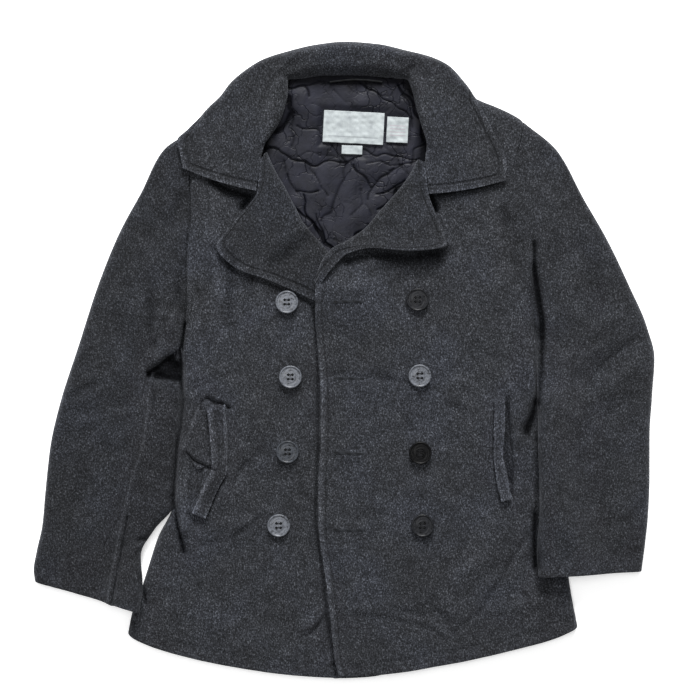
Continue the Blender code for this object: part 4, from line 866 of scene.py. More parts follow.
def back_surface():
    """The back from hem to back neck, its outer face on the floor."""
    sides = []
    count = len(RIGHT_FRONT_LOWER)
    steps = np.arange(len(LEFT_FRONT_LOWER))
    for i, right in enumerate(RIGHT_FRONT_LOWER):
        at = i * (len(LEFT_FRONT_LOWER) - 1) / (count - 1)
        left_x = np.interp(at, steps, [low.side_x for low in LEFT_FRONT_LOWER])
        left_y = np.interp(at, steps, [low.side_y for low in LEFT_FRONT_LOWER])
        bow = BACK_HEM_BOW * ease(BACK_HEM_SHARE, 0.0, i / (count - 1))
        sides.append(((right.side_x, right.side_y), (left_x, left_y), bow, HEM_CURVE))
    last = len(RIGHT_FRONT_UPPER) - 1
    for i, right in enumerate(RIGHT_FRONT_UPPER):
        left = LEFT_FRONT_UPPER[i + 1]
        ends = (right.arm_x + SEAM, right.arm_y), (left.arm_x - SEAM, left.arm_y)
        sides.append((*ends, BACK_NECK_BOW * ease(BACK_NECK_SHARE, 1.0, i / last), 1.0))
    columns = int((LEFT_FRONT_LOWER[0].side_x - RIGHT_FRONT_LOWER[0].side_x) / BACK_GRID)
    t = np.linspace(0.0, 1.0, columns + 1)
    rows = []
    for start, end, bow, power in sides:
        spots = section_points(np.array(start, float), np.array(end, float), bow, t, power)
        rows.append(stacked(spots, neck_raise(spots), 0.0))
    out_right = shoulder_direction(RIGHT_FRONT_UPPER) * EDGE_FOLD
    out_left = shoulder_direction(LEFT_FRONT_UPPER) * EDGE_FOLD
    spots = rows[-1][:, :2] + out_right + (out_left - out_right) * t[:, None]
    rows.append(stacked(spots, neck_raise(spots), 0.0))
    return loft(rows, BACK_GRID)


def side_line(lowers):
    """A side of the body as (y, x), from the hem up."""
    return [low.side_y for low in lowers], [low.side_x for low in lowers]


def fold_turns():
    """Angles round a flattened sleeve's edge, from its top to the floor."""
    return np.radians(np.linspace(67.5, -67.5, FOLD_STEPS))


def ring_of(plan, first_out, last_out, z_of):
    """A closed ring: along the top, round the far edge, back along the floor and round."""
    turn = fold_turns()
    over = plan[-1] + np.outer(np.cos(turn), last_out)
    back = plan[0] + np.outer(np.cos(turn), first_out)
    spots = np.concatenate([plan, over, plan[::-1], back[::-1]])
    round_share = 0.5 + 0.5 * np.sin(turn)
    level = np.concatenate([
        np.ones(len(plan)), round_share, np.zeros(len(plan)), round_share[::-1],
    ])
    return stacked(spots, z_of(spots, level), level)


def sleeve_rings(uppers, crosses, lowers, hand):
    """Fine rings round a sleeve from armhole to cuff."""
    coarse = np.array([arm_of(upper) for upper in uppers])
    fine_at = np.linspace(0, len(uppers) - 1, (len(uppers) - 1) * COLUMNS_PER_ROW + 1)
    arms = smooth_through(np.arange(len(uppers), dtype=float), coarse, fine_at)
    fractions = along(arms) / along(arms)[-1]
    shifted = arms.copy()
    shifted[:, 0] += hand * CAP_GAP * ease(0.6, 1.0, fine_at / fine_at[-1])
    out = shoulder_direction(uppers) * EDGE_FOLD
    rings = [ring_of(shifted, out * 0.0, out, lambda spots, level: BODY_TOP * level)]
    line_y, line_x = side_line(lowers)
    for cross in crosses:
        inner = np.array((cross.inner_x, cross.inner_y), float)
        outer = np.array((cross.outer_x, cross.outer_y), float)
        apart = hand * (inner[0] - np.interp(inner[1], line_y, line_x))
        if -2.0 < apart < TOUCHING:
            inner[0] -= hand * (apart + PRESS)
        length = np.linalg.norm(outer - inner)
        bulge = cross.height / 2.0
        shares = (bulge + (length - 2.0 * bulge) * fractions) / length
        plan = section_points(inner, outer, cross.bow, shares, 1.0)
        across = (outer - inner) / length * bulge

        def height_of(spots, level):
            beside = hand * (spots[:, 0] - np.interp(spots[:, 1], line_y, line_x))
            lift = CUFF_RISE * cross.rests * ease(REST_RAMP, 0.0, beside)
            return cross.height * level + lift

        rings.append(ring_of(plan, -across, across, height_of))
    return loft(rings, GRID)


def ring_slice(rings, first, last):
    """The columns of closed rings from first to last, ends drawn in by half a seam."""
    count = rings.shape[1]
    stop = last if last > first else last + count
    part = rings[:, np.arange(first, stop + 1) % count].copy()
    for end, following in ((0, 1), (-1, -2)):
        inward = part[:, following, :3] - part[:, end, :3]
        inward /= np.linalg.norm(inward, axis=1)[:, None]
        part[:, end, :3] += inward * SLEEVE_SEAM / 2.0
    return part


def floor_column(uppers, column):
    """Index on a ring of a table column counted along its floor side from the underarm."""
    top = (len(uppers) - 1) * COLUMNS_PER_ROW + 1
    return 2 * top + FOLD_STEPS - 1 - column * COLUMNS_PER_ROW


def collar_profile(station, width):
    """One station as (distance from its inner end, height of the outer face)."""
    free = np.array(OPEN_STAND)
    if station.in_y < OPEN_STAND_Y:
        free = np.column_stack([GORGE_COLUMNS, np.full(len(GORGE_COLUMNS), GORGE_Z)])
        free[0, 0] -= GORGE_CLOSED
    folded = COLLAR_ROLL * np.array(TURNED_STAND) + (0.0, TURNED_BOTTOM_Z)
    start = mix(free, folded, station.turned)
    laid, wrapped = (
        np.array([(width - inwards, station.out_z * share) for inwards, share in edge])
        for edge in (LAID_EDGE, WRAPPED_EDGE)
    )
    end = mix(laid, wrapped, station.wrap)
    t = np.array(LEAF_MIDDLE)
    middle = np.column_stack([mix(start[-1, 0], end[0, 0], t),
                              mix(start[-1, 1], end[0, 1], ease(0.0, 1.0, t))])
    under_s, under_z = end[-1]
    hidden = (under_s + LAID_LIP, under_z)
    if station.wrap == 1.0:
        hidden = (under_s - max(station.tuck, LEAST_TUCK), 0.0)
    return np.vstack([start, middle, end, [hidden]])


COLLAR_STEPS = (2, 2, 2, 2, 5, 6, 5, 3, 3, 3, 4)   # fine columns in each profile interval


def collar_surface():
    """The collar, each station's profile carried from its inner to its outer end."""
    rows = []
    for station in COLLAR:
        inner = np.array((station.in_x, station.in_y), float)
        outer = np.array((station.out_x, station.out_y), float)
        width = np.linalg.norm(outer - inner)
        profile = collar_profile(station, width)
        knots = along(profile)
        at = [
            mix(knots[i], knots[i + 1], k / count)
            for i, count in enumerate(COLLAR_STEPS)
            for k in range(count)
        ]
        fine = smooth_through(knots, profile, np.array(at + [knots[-1]]))
        spots = section_points(inner, outer, station.bow, fine[:, 0] / width, 1.0)
        on_leaf = ease(12.0, 18.0, fine[:, 1])
        rows.append(stacked(spots, fine[:, 1], on_leaf))
    return loft(rows, FINE_GRID)


def lined_neck():
    """The quilted lining on the back, between the fronts, crinkled over its stitching."""
    across = np.linspace(0.0, 1.0, LINING_COLUMNS)
    levels = np.array(NECK_LINING_LEVELS, float)
    y = np.arange(levels[0, 0], levels[-1, 0], LINING_GRID)
    low = smooth_through(levels[:, 0], levels[:, 1], y)
    high = smooth_through(levels[:, 0], levels[:, 2], y)
    x = low[:, None] + (high - low)[:, None] * across
    y = np.broadcast_to(y[:, None], x.shape)
    spots = np.stack([x, y], axis=-1)
    uneven, sharp = lining_relief(x, y)
    points = np.dstack([x, y, neck_raise(spots) + WOOL + LINING + LINING_LIFT + uneven])
    side = distance_in(points, ("first", "last", "top"))
    depth, reach = NECK_SHADE
    return points, sharp + depth * np.exp(-(side / reach) ** 2) * ease(190.0, 250.0, y)


def lining_relief(x, y):
    """Padded facets between the sharp gathers, and how sharply each spot is gathered."""
    flat = np.ones_like(x)
    for patch in PATCHES:
        turn = math.radians(patch.turn)
        u = (x - patch.x) * math.cos(turn) + (y - patch.y) * math.sin(turn)
        v = (y - patch.y) * math.cos(turn) - (x - patch.x) * math.sin(turn)
        off = np.maximum(np.abs(u) - patch.width / 2.0, np.abs(v) - patch.length / 2.0)
        flat = np.minimum(flat, ease(-1.0, 9.0, off))
    shift_x, shift_y, swell = (share * ripple(x, y, wave, seed)
                               for share, wave, seed in LINING_WAVES)
    warp_x, warp_y = x + shift_x, y + shift_y
    sharp = line_relief(LINING_LINES, warp_x, warp_y)
    thin = np.exp(-(ripple(warp_x * 1.5, warp_y * 0.8, 46.0, 23) / 0.07) ** 2)
    sharp -= 0.45 * thin * ease(-0.2, 0.3, ripple(x, y, 40.0, 26))
    broad = line_relief([line._replace(width=7.0, height=-0.6) for line in LINING_LINES],
                        warp_x, warp_y)
    padding = LINING_PADDING + np.maximum(broad, -1.2) + swell
    return np.clip(padding + 0.6 * sharp, -0.4, 6.0) * mix(0.2, 1.0, flat), sharp


def lifted(surface, lines=()):
    """The lofted surface with the wool's relief where it shows, and the relief's sharp part."""
    points, share = surface[..., :3].copy(), surface[..., 3]
    x, y = points[..., 0], points[..., 1]
    extra = line_relief(lines, x, y)
    points[..., 2] += share * (relief(x, y) + extra)
    return points, share * (creased(x, y) + extra)


def distance_in(points, sides):
    """Distance of each grid point, along the cloth, from the nearest of the named sides."""
    across = np.linalg.norm(np.diff(points, axis=1), axis=2)
    down = np.linalg.norm(np.diff(points, axis=0), axis=2)
    zero_column = np.zeros((len(points), 1))
    zero_row = np.zeros((1, points.shape[1]))
    from_first = np.hstack([zero_column, np.cumsum(across, axis=1)])
    from_bottom = np.vstack([zero_row, np.cumsum(down, axis=0)])
    reach = {
        "first": from_first,
        "last": from_first[:, -1:] - from_first,
        "bottom": from_bottom,
        "top": from_bottom[-1:] - from_bottom,
    }
    return np.minimum.reduce([reach[side] for side in sides])


def set_attribute(mesh, name, values):
    """A value for each point of a mesh, which its material reads."""
    layer = mesh.attributes.new(name, "FLOAT", "POINT")
    layer.data.foreach_set("value", np.asarray(values, np.float32).ravel())


def grid_faces(rows, columns, flip):
    """Quads of a grid of points, facing up or flipped."""
    index = np.arange(rows * columns).reshape(rows, columns)
    corners = [index[:-1, :-1], index[:-1, 1:], index[1:, 1:], index[1:, :-1]]
    faces = np.stack([corner.ravel() for corner in corners], axis=1)
    return faces[:, ::-1] if flip else faces


def new_object(name, mesh, material):
    """A smooth-shaded object of this mesh in the scene."""
    obj = bpy.data.objects.new(name, mesh)
    mesh.materials.append(material)
    mesh.shade_smooth()
    bpy.context.scene.collection.objects.link(obj)
    return obj


def cloth(name, points, wall, material, flip=False, edge=None, sharp=None):
    """A walled piece of cloth on a grid of points, knowing how far its stitching lies."""
    mesh = bpy.data.meshes.new(name)
    faces = grid_faces(*points.shape[:2], flip)
    mesh.from_pydata((points.reshape(-1, 3) * MM).tolist(), [], faces.tolist())
    if edge is None:
        edge = np.full(points.shape[:2], FAR)
    set_attribute(mesh, EDGE_DISTANCE, np.minimum(edge, FAR) * MM)
    if sharp is not None:
        set_attribute(mesh, SHARP_RELIEF, sharp * MM)
    obj = new_object(name, mesh, material)
    wall_of = obj.modifiers.new("Wall", "SOLIDIFY")
    wall_of.thickness = wall * MM
    wall_of.offset = -1.0
    rounding = obj.modifiers.new("Rounded rim", "BEVEL")
    rounding.width = wall * RIM_SHARE * MM
    rounding.segments = 2
    rounding.angle_limit = math.radians(65.0)
    SURFACES[name] = points
    return obj


def lay(obj, node):
    """Rides the coat and stands for its solid, whose box it may pass by at most FIT."""
    surface = SURFACES[obj.name]
    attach(obj, BODY)
    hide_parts(node)
    low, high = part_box(node)
    points = surface.reshape(-1, 3) * MM
    for axis, (least, most) in enumerate(zip(points.min(axis=0), points.max(axis=0))):
        if least < low[axis] - FIT or most > high[axis] + FIT:
            raise ValueError(f"{obj.name} leaves its solid along axis {axis}: {least} {most}")
    return obj


def surface_of(*objs):
    """Finds the height of the highest cloth over a spot among the objects."""
    bpy.context.view_layer.update()
    graph = bpy.context.evaluated_depsgraph_get()
    trees = [BVHTree.FromObject(obj, graph) for obj in objs]

    def over(x, y):
        above = Vector((x * MM, y * MM, 1.0))
        hits = [tree.ray_cast(above, Vector((0.0, 0.0, -1.0))) for tree in trees]
        return max(hit[0].z / MM for hit in hits if hit[0] is not None)

    return over


def resampled(path, pitch):
    """Points along a path at every pitch, with the directions there."""
    length = along(path)
    count = max(int(length[-1] / pitch), 2)
    at = (np.arange(count) + 0.5) * length[-1] / count
    points = np.column_stack([np.interp(at, length, path[:, k]) for k in range(3)])
    ahead = np.column_stack([np.interp(at + 0.5, length, path[:, k]) for k in range(3)])
    behind = np.column_stack([np.interp(at - 0.5, length, path[:, k]) for k in range(3)])
    heading = ahead - behind
    return points, heading / np.linalg.norm(heading, axis=1)[:, None]


# A stitch along its length: share of half its length, of its radius, and how far it sinks.
GRAIN = (
    (-1.0, 0.25, 1.3), (-0.72, 0.85, 0.45), (0.0, 1.0, 0.0), (0.72, 0.85, 0.45), (1.0, 0.25, 1.3),
)
GRAIN_SIDES = 6


def round_ring(centre, side, up, radius, sides):
    """A ring of points in metres round a centre in millimetres."""
    turns = [math.tau * k / sides for k in range(sides)]
    return [tuple((centre + (side * math.cos(turn) + up * math.sin(turn)) * radius) * MM)
            for turn in turns]


def ring_faces(rings, sides, first=0):
    """Faces round rings of points that follow each other, with the first ring capped."""
    faces = []
    for start in range(first, first + (rings - 1) * sides, sides):
        for k in range(sides):
            a, b = start + k, start + (k + 1) % sides
            faces.append((a, b, b + sides, a + sides))
    faces.append(tuple(range(first, first + sides))[::-1])
    return faces


def tube_faces(rings, sides, first=0):
    """The same with the last ring capped too."""
    last = first + (rings - 1) * sides
    return ring_faces(rings, sides, first) + [tuple(range(last, last + sides))]


def crosswise(heading):
    """The level direction across a heading, and the one square to both."""
    side = np.cross((0.0, 0.0, 1.0), heading)
    side /= np.linalg.norm(side, axis=-1)[..., None]
    return side, np.cross(heading, side)


def stitches(paths, length, radius, pitch):
    """Verts and faces of stitches along the paths, each end dipping into the cloth."""
    verts, faces = [], []
    for path in paths:
        for centre, heading in zip(*resampled(path, pitch)):
            side, up = crosswise(heading)
            faces += tube_faces(len(GRAIN), GRAIN_SIDES, len(verts))
            for share, thick, sink in GRAIN:
                at = centre + heading * share * length / 2.0 - up * radius * sink
                verts += round_ring(at, side, up, radius * thick, GRAIN_SIDES)
    return verts, faces


def tube(path, radius, sides):
    """Verts and faces of a closed round cord along a path in millimetres."""
    run = np.gradient(path, axis=0)
    run /= np.linalg.norm(run, axis=1)[:, None]
    verts = []
    for ring in zip(path, *crosswise(run)):
        verts += round_ring(*ring, radius, sides)
    return verts, tube_faces(len(path), sides)


def trim(name, verts, faces, material, slot):
    """A piece of trim, which is no sheet of cloth, riding on the coat."""
    mesh = bpy.data.meshes.new(name)
    mesh.from_pydata(verts, [], faces)
    obj = new_object(name, mesh, material)
    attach(obj, BODY)
    return obj


def stitched_piece(name, paths, length, radius, pitch, material):
    """One piece of all the stitches along the paths."""
    return trim(name, *stitches(paths, length, radius, pitch), material, "wool")


def inset_path(points, side, inset, start=0.0, stop=1.0):
    """The line that runs inset inside one side of a grid, over part of that side's length."""
    grid = points if side in ("first", "last") else points.transpose(1, 0, 2)
    if side in ("last", "top"):
        grid = grid[:, ::-1]
    chosen = grid[int(start * (len(grid) - 1)):int(stop * (len(grid) - 1)) + 1]
    line = []
    for row in chosen:
        length = along(row)
        line.append([np.interp(inset, length, row[:, k]) for k in range(3)])
    return np.array(line)


# ---------------------------------------------------------------- materials


def linear(hex_colour):
    """An sRGB hex colour as linear red, green and blue."""
    values = [int(hex_colour[k:k + 2], 16) / 255.0 for k in (1, 3, 5)]
    return tuple(v / 12.92 if v <= 0.04045 else ((v + 0.055) / 1.055) ** 2.4 for v in values)


def add_node(tree, kind, links=None, values=None, **settings):
    """A node of this kind with its settings, its input values and what feeds its inputs."""
    node = tree.nodes.new(kind)
    for name, value in settings.items():
        setattr(node, name, value)
    for name, value in (values or {}).items():
        node.inputs[name].default_value = value
    for name, output in (links or {}).items():
        tree.links.new(output, node.inputs[name])
    return node


def start_material(name, **values):
    """A material with its shader's even values set, its tree, its shader and place."""
    material = bpy.data.materials.new(name)
    material.use_nodes = True
    tree = material.node_tree
    shader = tree.nodes["Principled BSDF"]
    for label, value in values.items():
        socket = shader.inputs[label.replace("_", " ")]
        socket.default_value = (*value, 1.0) if isinstance(value, tuple) else value
    place = add_node(tree, "ShaderNodeTexCoord").outputs["Object"]
    return material, tree, shader, place


def feed(tree, shader, **outputs):
    """Links the outputs to the shader's sockets of these names."""
    for label, output in outputs.items():
        tree.links.new(output, shader.inputs[label.replace("_", " ")])


def set_ramp(node, stops):
    """Colour stops as (position, colour) on a ramp node."""
    ramp = node.color_ramp
    while len(ramp.elements) < len(stops):
        ramp.elements.new(0.5)
    for element, (position, colour) in zip(ramp.elements, stops):
        element.position = position
        element.color = (*colour, 1.0)


def per_metre(size_mm):
    """Noise scale that gives features of this size."""
    return 1.0 / (size_mm * MM)


def bands_per_metre(apart_mm, slanting=False):
    """Wave scale that sets bands this far apart.

    The wave turns 20 radians a unit along an axis, or 10 along each where it slants.
    """
    turn = 10.0 * math.sqrt(2.0) if slanting else 20.0
    return math.tau / turn / (apart_mm * MM)


MULTIPLIED = {"values": {0: 1.0}, "data_type": "RGBA", "blend_type": "MULTIPLY"}


def crease_shade(tree, shader, deep, least):
    """Painted shade where the cloth closes on itself in a crease, painted highlight on a ridge.

    Little light gets into a closed crease, so its gloss goes too.
    """
    sharp = add_node(tree, "ShaderNodeAttribute", attribute_name=SHARP_RELIEF).outputs["Fac"]
    # A crease is painted darker, as shade.
    sunk = add_node(tree, "ShaderNodeMapRange", {"Value": sharp},
                    {"From Min": deep, "From Max": -0.0002, "To Min": least, "To Max": 1.0})
    # A ridge is painted paler, as a highlight.
    glinting = add_node(tree, "ShaderNodeMapRange", {"Value": sharp},
                      {"From Min": 0.0, "From Max": 0.003, "To Min": 1.0, "To Max": 1.7})
    for socket in ("Specular IOR Level", "Sheen Weight"):
        gloss = add_node(tree, "ShaderNodeMath", {0: sunk.outputs[0]},
                         {1: shader.inputs[socket].default_value}, operation="MULTIPLY")
        tree.links.new(gloss.outputs[0], shader.inputs[socket])
    return add_node(tree, "ShaderNodeMath", {0: sunk.outputs[0], 1: glinting.outputs[0]},
                    operation="MULTIPLY").outputs[0]


def melton_wool(name, colours, inset, strength):
    """Melton: wool woven as a twill, milled until it felts, then brushed and cropped.

    The eye gets a dull, deep charcoal with paler and darker fibres through it, faint clouds
    of blue and brown from the dyed stock, no weave, and a thin halo where the nap turns edge on.
    """
    material, tree, shader, place = start_material(
        name, Roughness=0.92, IOR=1.45, Specular_IOR_Level=0.18, Sheen_Weight=0.22,
        Sheen_Roughness=0.45, Sheen_Tint=linear("#b9bdc6"),
    )
    # Flecks are 0.1 mm wide on the real cloth, drawn at 1.1 to 1.9 mm so that they show.
    fleck = add_node(tree, "ShaderNodeTexNoise", {"Vector": place},
                     {"Scale": per_metre(1.9), "Detail": 3.0, "Roughness": 0.75})
    fibres = add_node(tree, "ShaderNodeMapping", {"Vector": place},
                      {"Scale": (1.0, 0.35, 1.0), "Rotation": (0.0, 0.0, 0.12)})
    nap = add_node(tree, "ShaderNodeTexNoise", {"Vector": fibres.outputs[0]},
                   {"Scale": per_metre(1.1), "Detail": 2.0, "Roughness": 0.6})
    blend = add_node(tree, "ShaderNodeMix", {2: fleck.outputs[0], 3: nap.outputs[0]},
                     {0: 0.42}, data_type="FLOAT")
    ground = [linear(value) for value in colours]
    ramp = add_node(tree, "ShaderNodeValToRGB", {"Fac": blend.outputs[0]})
    set_ramp(ramp, ((0.36, ground[0]), (0.47, ground[1]), (0.55, ground[2]), (0.66, ground[3])))
    cloud = add_node(tree, "ShaderNodeTexNoise", {"Vector": place},
                     {"Scale": per_metre(75.0), "Detail": 3.0, "Roughness": 0.55})
    tint = add_node(tree, "ShaderNodeValToRGB", {"Fac": cloud.outputs[0]})
    set_ramp(tint, ((0.34, (0.90, 0.89, 0.87)), (0.5, (1.0, 1.0, 1.0)), (0.66, (1.10, 1.12, 1.18))))
    tinted = add_node(tree, "ShaderNodeMix", {6: ramp.outputs[0], 7: tint.outputs[0]},
                      **MULTIPLIED)
    # Handling lays the nap this way and that in patches a finger wide.
    stroke = add_node(tree, "ShaderNodeTexNoise", {"Vector": place},
                      {"Scale": per_metre(15.0), "Detail": 2.0, "Roughness": 0.5})
    handled_and_dimly_lit = add_node(tree, "ShaderNodeMapRange", {"Value": stroke.outputs[0]},
                       {"From Min": 0.3, "From Max": 0.7, "To Min": 0.80, "To Max": 1.2})
    # Wear and a painted highlight pale the nap at finished edges; the stitched line gets painted
    # shade.
    # strength, the part's share of painted light, scales all of the shade below.
    edge = add_node(tree, "ShaderNodeAttribute", attribute_name=EDGE_DISTANCE).outputs["Fac"]
    wear_and_rim_highlight = add_node(tree, "ShaderNodeMapRange", {"Value": edge},
                    {"From Min": 0.001, "From Max": 0.006, "To Min": 1.8 * strength,
                     "To Max": strength}, interpolation_type="SMOOTHSTEP")
    off_line = add_node(tree, "ShaderNodeMath", {0: edge}, {1: inset}, operation="SUBTRACT")
    far = add_node(tree, "ShaderNodeMath", {0: off_line.outputs[0]}, operation="ABSOLUTE")
    valley = add_node(tree, "ShaderNodeMapRange", {"Value": far.outputs[0]},
                      {"From Min": 0.0003, "From Max": 0.0026}, interpolation_type="SMOOTHSTEP")
    groove_shade = add_node(tree, "ShaderNodeMapRange", {"Value": valley.outputs[0]},
                       {"To Min": 0.66, "To Max": 1.0})
    shade = wear_and_rim_highlight
    for factor in (groove_shade.outputs[0], handled_and_dimly_lit.outputs[0],
                   crease_shade(tree, shader, -0.0050, 0.16)):
        shade = add_node(tree, "ShaderNodeMath", {0: shade.outputs[0], 1: factor},
                         operation="MULTIPLY")
    # The ground colour times the shade: wear, painted highlight and painted shade.
    lit_and_worn = add_node(tree, "ShaderNodeMix", {6: tinted.outputs[2], 7: shade.outputs[0]},
                    **MULTIPLIED)
    # Bump: the felted pile, then the stitched valley, which is deeper than it.
    pile = add_node(tree, "ShaderNodeBump", {"Height": blend.outputs[0]},
                    {"Strength": 0.75, "Distance": 0.0022})
    groove = add_node(tree, "ShaderNodeBump",
                      {"Height": valley.outputs[0], "Normal": pile.outputs[0]},
                      {"Strength": 0.8, "Distance": 0.0012})
    feed(tree, shader, Base_Color=lit_and_worn.outputs[2], Normal=groove.outputs[0])
    return material


def quilted_nylon(colours):
    """Nylon taffeta, plain woven, calendered and quilted: near black with a violet cast.

    The eye gets soft gloss on each facet of its crinkles and fine threads only close to.
    """
    material, tree, shader, place = start_material(
        "quilted nylon taffeta", Roughness=0.5, IOR=1.53, Specular_IOR_Level=0.15,
    )
    cloud = add_node(tree, "ShaderNodeTexNoise", {"Vector": place},
                     {"Scale": per_metre(18.0), "Detail": 4.0, "Roughness": 0.6})
    ramp = add_node(tree, "ShaderNodeValToRGB", {"Fac": cloud.outputs[0]})
    set_ramp(ramp, ((0.32, linear(colours[0])), (0.68, linear(colours[1]))))
    shaded = add_node(tree, "ShaderNodeMix",
                      {6: ramp.outputs[0], 7: crease_shade(tree, shader, -0.0018, 0.22)},
                      **MULTIPLIED)
    # Fine creases of painted shade where the nylon was crumpled, broken off at random.
    bend = add_node(tree, "ShaderNodeTexNoise", {"Vector": place},
                    {"Scale": per_metre(34.0), "Detail": 3.0})
    bent = add_node(tree, "ShaderNodeMix", {4: place, 5: bend.outputs["Color"]}, {0: 0.05},
                    data_type="VECTOR")
    cracks = add_node(tree, "ShaderNodeTexVoronoi", {"Vector": bent.outputs[1]},
                      {"Scale": per_metre(19.0)}, feature="DISTANCE_TO_EDGE")
    faint = add_node(tree, "ShaderNodeMapRange", {"Value": bend.outputs[0]},
                     {"From Min": 0.42, "From Max": 0.6, "To Min": 0.5, "To Max": 1.0})
    crack = add_node(tree, "ShaderNodeMapRange",
                     {"Value": cracks.outputs[0], "To Min": faint.outputs[0]},
                     {"From Min": 0.0, "From Max": 0.07, "To Max": 1.0})
    shaded_in_creases = add_node(tree, "ShaderNodeMix", {6: shaded.outputs[2], 7: crack.outputs[0]},
                       **MULTIPLIED)
    crinkle = add_node(tree, "ShaderNodeTexNoise", {"Vector": place},
                       {"Scale": per_metre(7.0), "Detail": 4.0, "Roughness": 0.65,
                        "Distortion": 0.8}, noise_type="RIDGED_MULTIFRACTAL")
    crease = add_node(tree, "ShaderNodeBump", {"Height": crack.outputs[0]},
                      {"Strength": 0.8, "Distance": 0.0016})
    fine = add_node(tree, "ShaderNodeBump",
                    {"Height": crinkle.outputs[0], "Normal": crease.outputs[0]},
                    {"Strength": 0.35, "Distance": 0.0012})
    # The threads are 0.2 mm apart, too fine to show: faint slanting bands 7 mm apart
    # stand in for the way they turn the light.
    weave = add_node(tree, "ShaderNodeTexWave", {"Vector": place},
                     {"Scale": bands_per_metre(7.11, True), "Distortion": 0.4},
                     bands_direction="DIAGONAL")
    threads = add_node(tree, "ShaderNodeBump",
                       {"Height": weave.outputs[0], "Normal": fine.outputs[0]},
                       {"Strength": 0.08, "Distance": 0.0002})
    feed(tree, shader, Base_Color=shaded_in_creases.outputs[2], Normal=threads.outputs[0])
    return material


def woven_label(name, ground, band):
    """Polyester satin ribbon, woven on a needle loom and heat cut: white with a faint rib."""
    material, tree, shader, place = start_material(name, Roughness=0.55, IOR=1.5,
                                                   Sheen_Weight=0.1)
    grime = add_node(tree, "ShaderNodeTexNoise", {"Vector": place},
                     {"Scale": per_metre(9.0), "Detail": 4.0, "Roughness": 0.6})
    ramp = add_node(tree, "ShaderNodeValToRGB", {"Fac": grime.outputs[0]})
    set_ramp(ramp, ((0.3, linear(ground[0])), (0.62, linear(ground[1]))))
    stripe = add_node(tree, "ShaderNodeAttribute", attribute_name=LABEL_BAND)
    mixed = add_node(tree, "ShaderNodeMix",
                     {0: stripe.outputs["Fac"], 6: ramp.outputs[0]},
                     {7: (*linear(band), 1.0)}, data_type="RGBA")
    # Its ribs are 0.5 mm apart, drawn 6 mm apart so that they show.
    rib = add_node(tree, "ShaderNodeTexWave", {"Vector": place},
                   {"Scale": bands_per_metre(6.283)}, bands_direction="Y")
    bump = add_node(tree, "ShaderNodeBump", {"Height": rib.outputs[0]},
                    {"Strength": 0.25, "Distance": 0.0003})
    feed(tree, shader, Base_Color=mixed.outputs[2], Normal=bump.outputs[0])
    return material


def cast_polyester(name, colour, roughness, gloss):
    """Cast polyester button, tumbled: near black, its relief scuffed grey, its holes in painted
    shade, softly glossy.
    """
    material, tree, shader, place = start_material(name, IOR=1.55, Specular_IOR_Level=gloss)
    scuff = add_node(tree, "ShaderNodeTexNoise", {"Vector": place},
                     {"Scale": per_metre(3.2), "Detail": 5.0, "Roughness": 0.7})
    ramp = add_node(tree, "ShaderNodeValToRGB", {"Fac": scuff.outputs[0]})
    base = linear(colour)
    set_ramp(ramp, ((0.36, tuple(c * 0.2 for c in base)), (0.46, base),
                    (0.62, tuple(c * 1.5 for c in base))))
    shaded = add_node(tree, "ShaderNodeMix",
                      {6: ramp.outputs[0], 7: crease_shade(tree, shader, -0.0012, 0.03)},
                      **MULTIPLIED)
    dull = add_node(tree, "ShaderNodeMapRange", {"Value": scuff.outputs[0]},
                    {"From Min": 0.3, "From Max": 0.7, "To Min": roughness * 0.8,
                     "To Max": roughness * 1.5})
    bump = add_node(tree, "ShaderNodeBump", {"Height": scuff.outputs[0]},
                    {"Strength": 0.15, "Distance": 0.0003})
    feed(tree, shader, Base_Color=shaded.outputs[2], Roughness=dull.outputs[0],
         Normal=bump.outputs[0])
    return material


def spun_thread(name, colour, roughness=0.7):
    """Spun polyester thread or cord: two plies, so fine slanting bands and a little sheen."""
    material, tree, shader, place = start_material(name, Roughness=roughness, IOR=1.5,
                                                   Specular_IOR_Level=0.15)
    # Plies turn every 1 mm, too fine to show: drawn as slanting bands 10 mm apart.
    plies = add_node(tree, "ShaderNodeTexWave", {"Vector": place},
                     {"Scale": bands_per_metre(9.775, True), "Distortion": 1.0},
                     bands_direction="DIAGONAL")
    ramp = add_node(tree, "ShaderNodeValToRGB", {"Fac": plies.outputs[0]})
    base = linear(colour)
    set_ramp(ramp, ((0.2, tuple(c * 0.65 for c in base)), (0.8, tuple(c * 1.3 for c in base))))
    bump = add_node(tree, "ShaderNodeBump", {"Height": plies.outputs[0]},
                    {"Strength": 0.5, "Distance": 0.0003})
    feed(tree, shader, Base_Color=ramp.outputs[0], Normal=bump.outputs[0])
    return material


def opal_acrylic(colour):
    """Opal acrylic sheet of a light table, cast and sanded: an even white, lit from below."""
    material, tree, shader, place = start_material(
        "opal acrylic light table", Roughness=0.9, Emission_Color=(1.0, 1.0, 1.0),
        Emission_Strength=0.4,
    )
    grain = add_node(tree, "ShaderNodeTexNoise", {"Vector": place},
                     {"Scale": per_metre(40.0), "Detail": 3.0})
    ramp = add_node(tree, "ShaderNodeValToRGB", {"Fac": grain.outputs[0]})
    base = linear(colour)
    set_ramp(ramp, ((0.3, tuple(c * 0.985 for c in base)), (0.7, base)))
    feed(tree, shader, Base_Color=ramp.outputs[0])
    return material


# ---------------------------------------------------------------- sizes and colours


def length_of(name, text, millimetres):
    return bpy.props.FloatProperty(name=name, description=text, default=millimetres * MM,
                                   min=0.0, unit="LENGTH", subtype="DISTANCE")


def colour_of(name, text, hex_colour):
    return bpy.props.StringProperty(name=name, description=text, default=hex_colour)


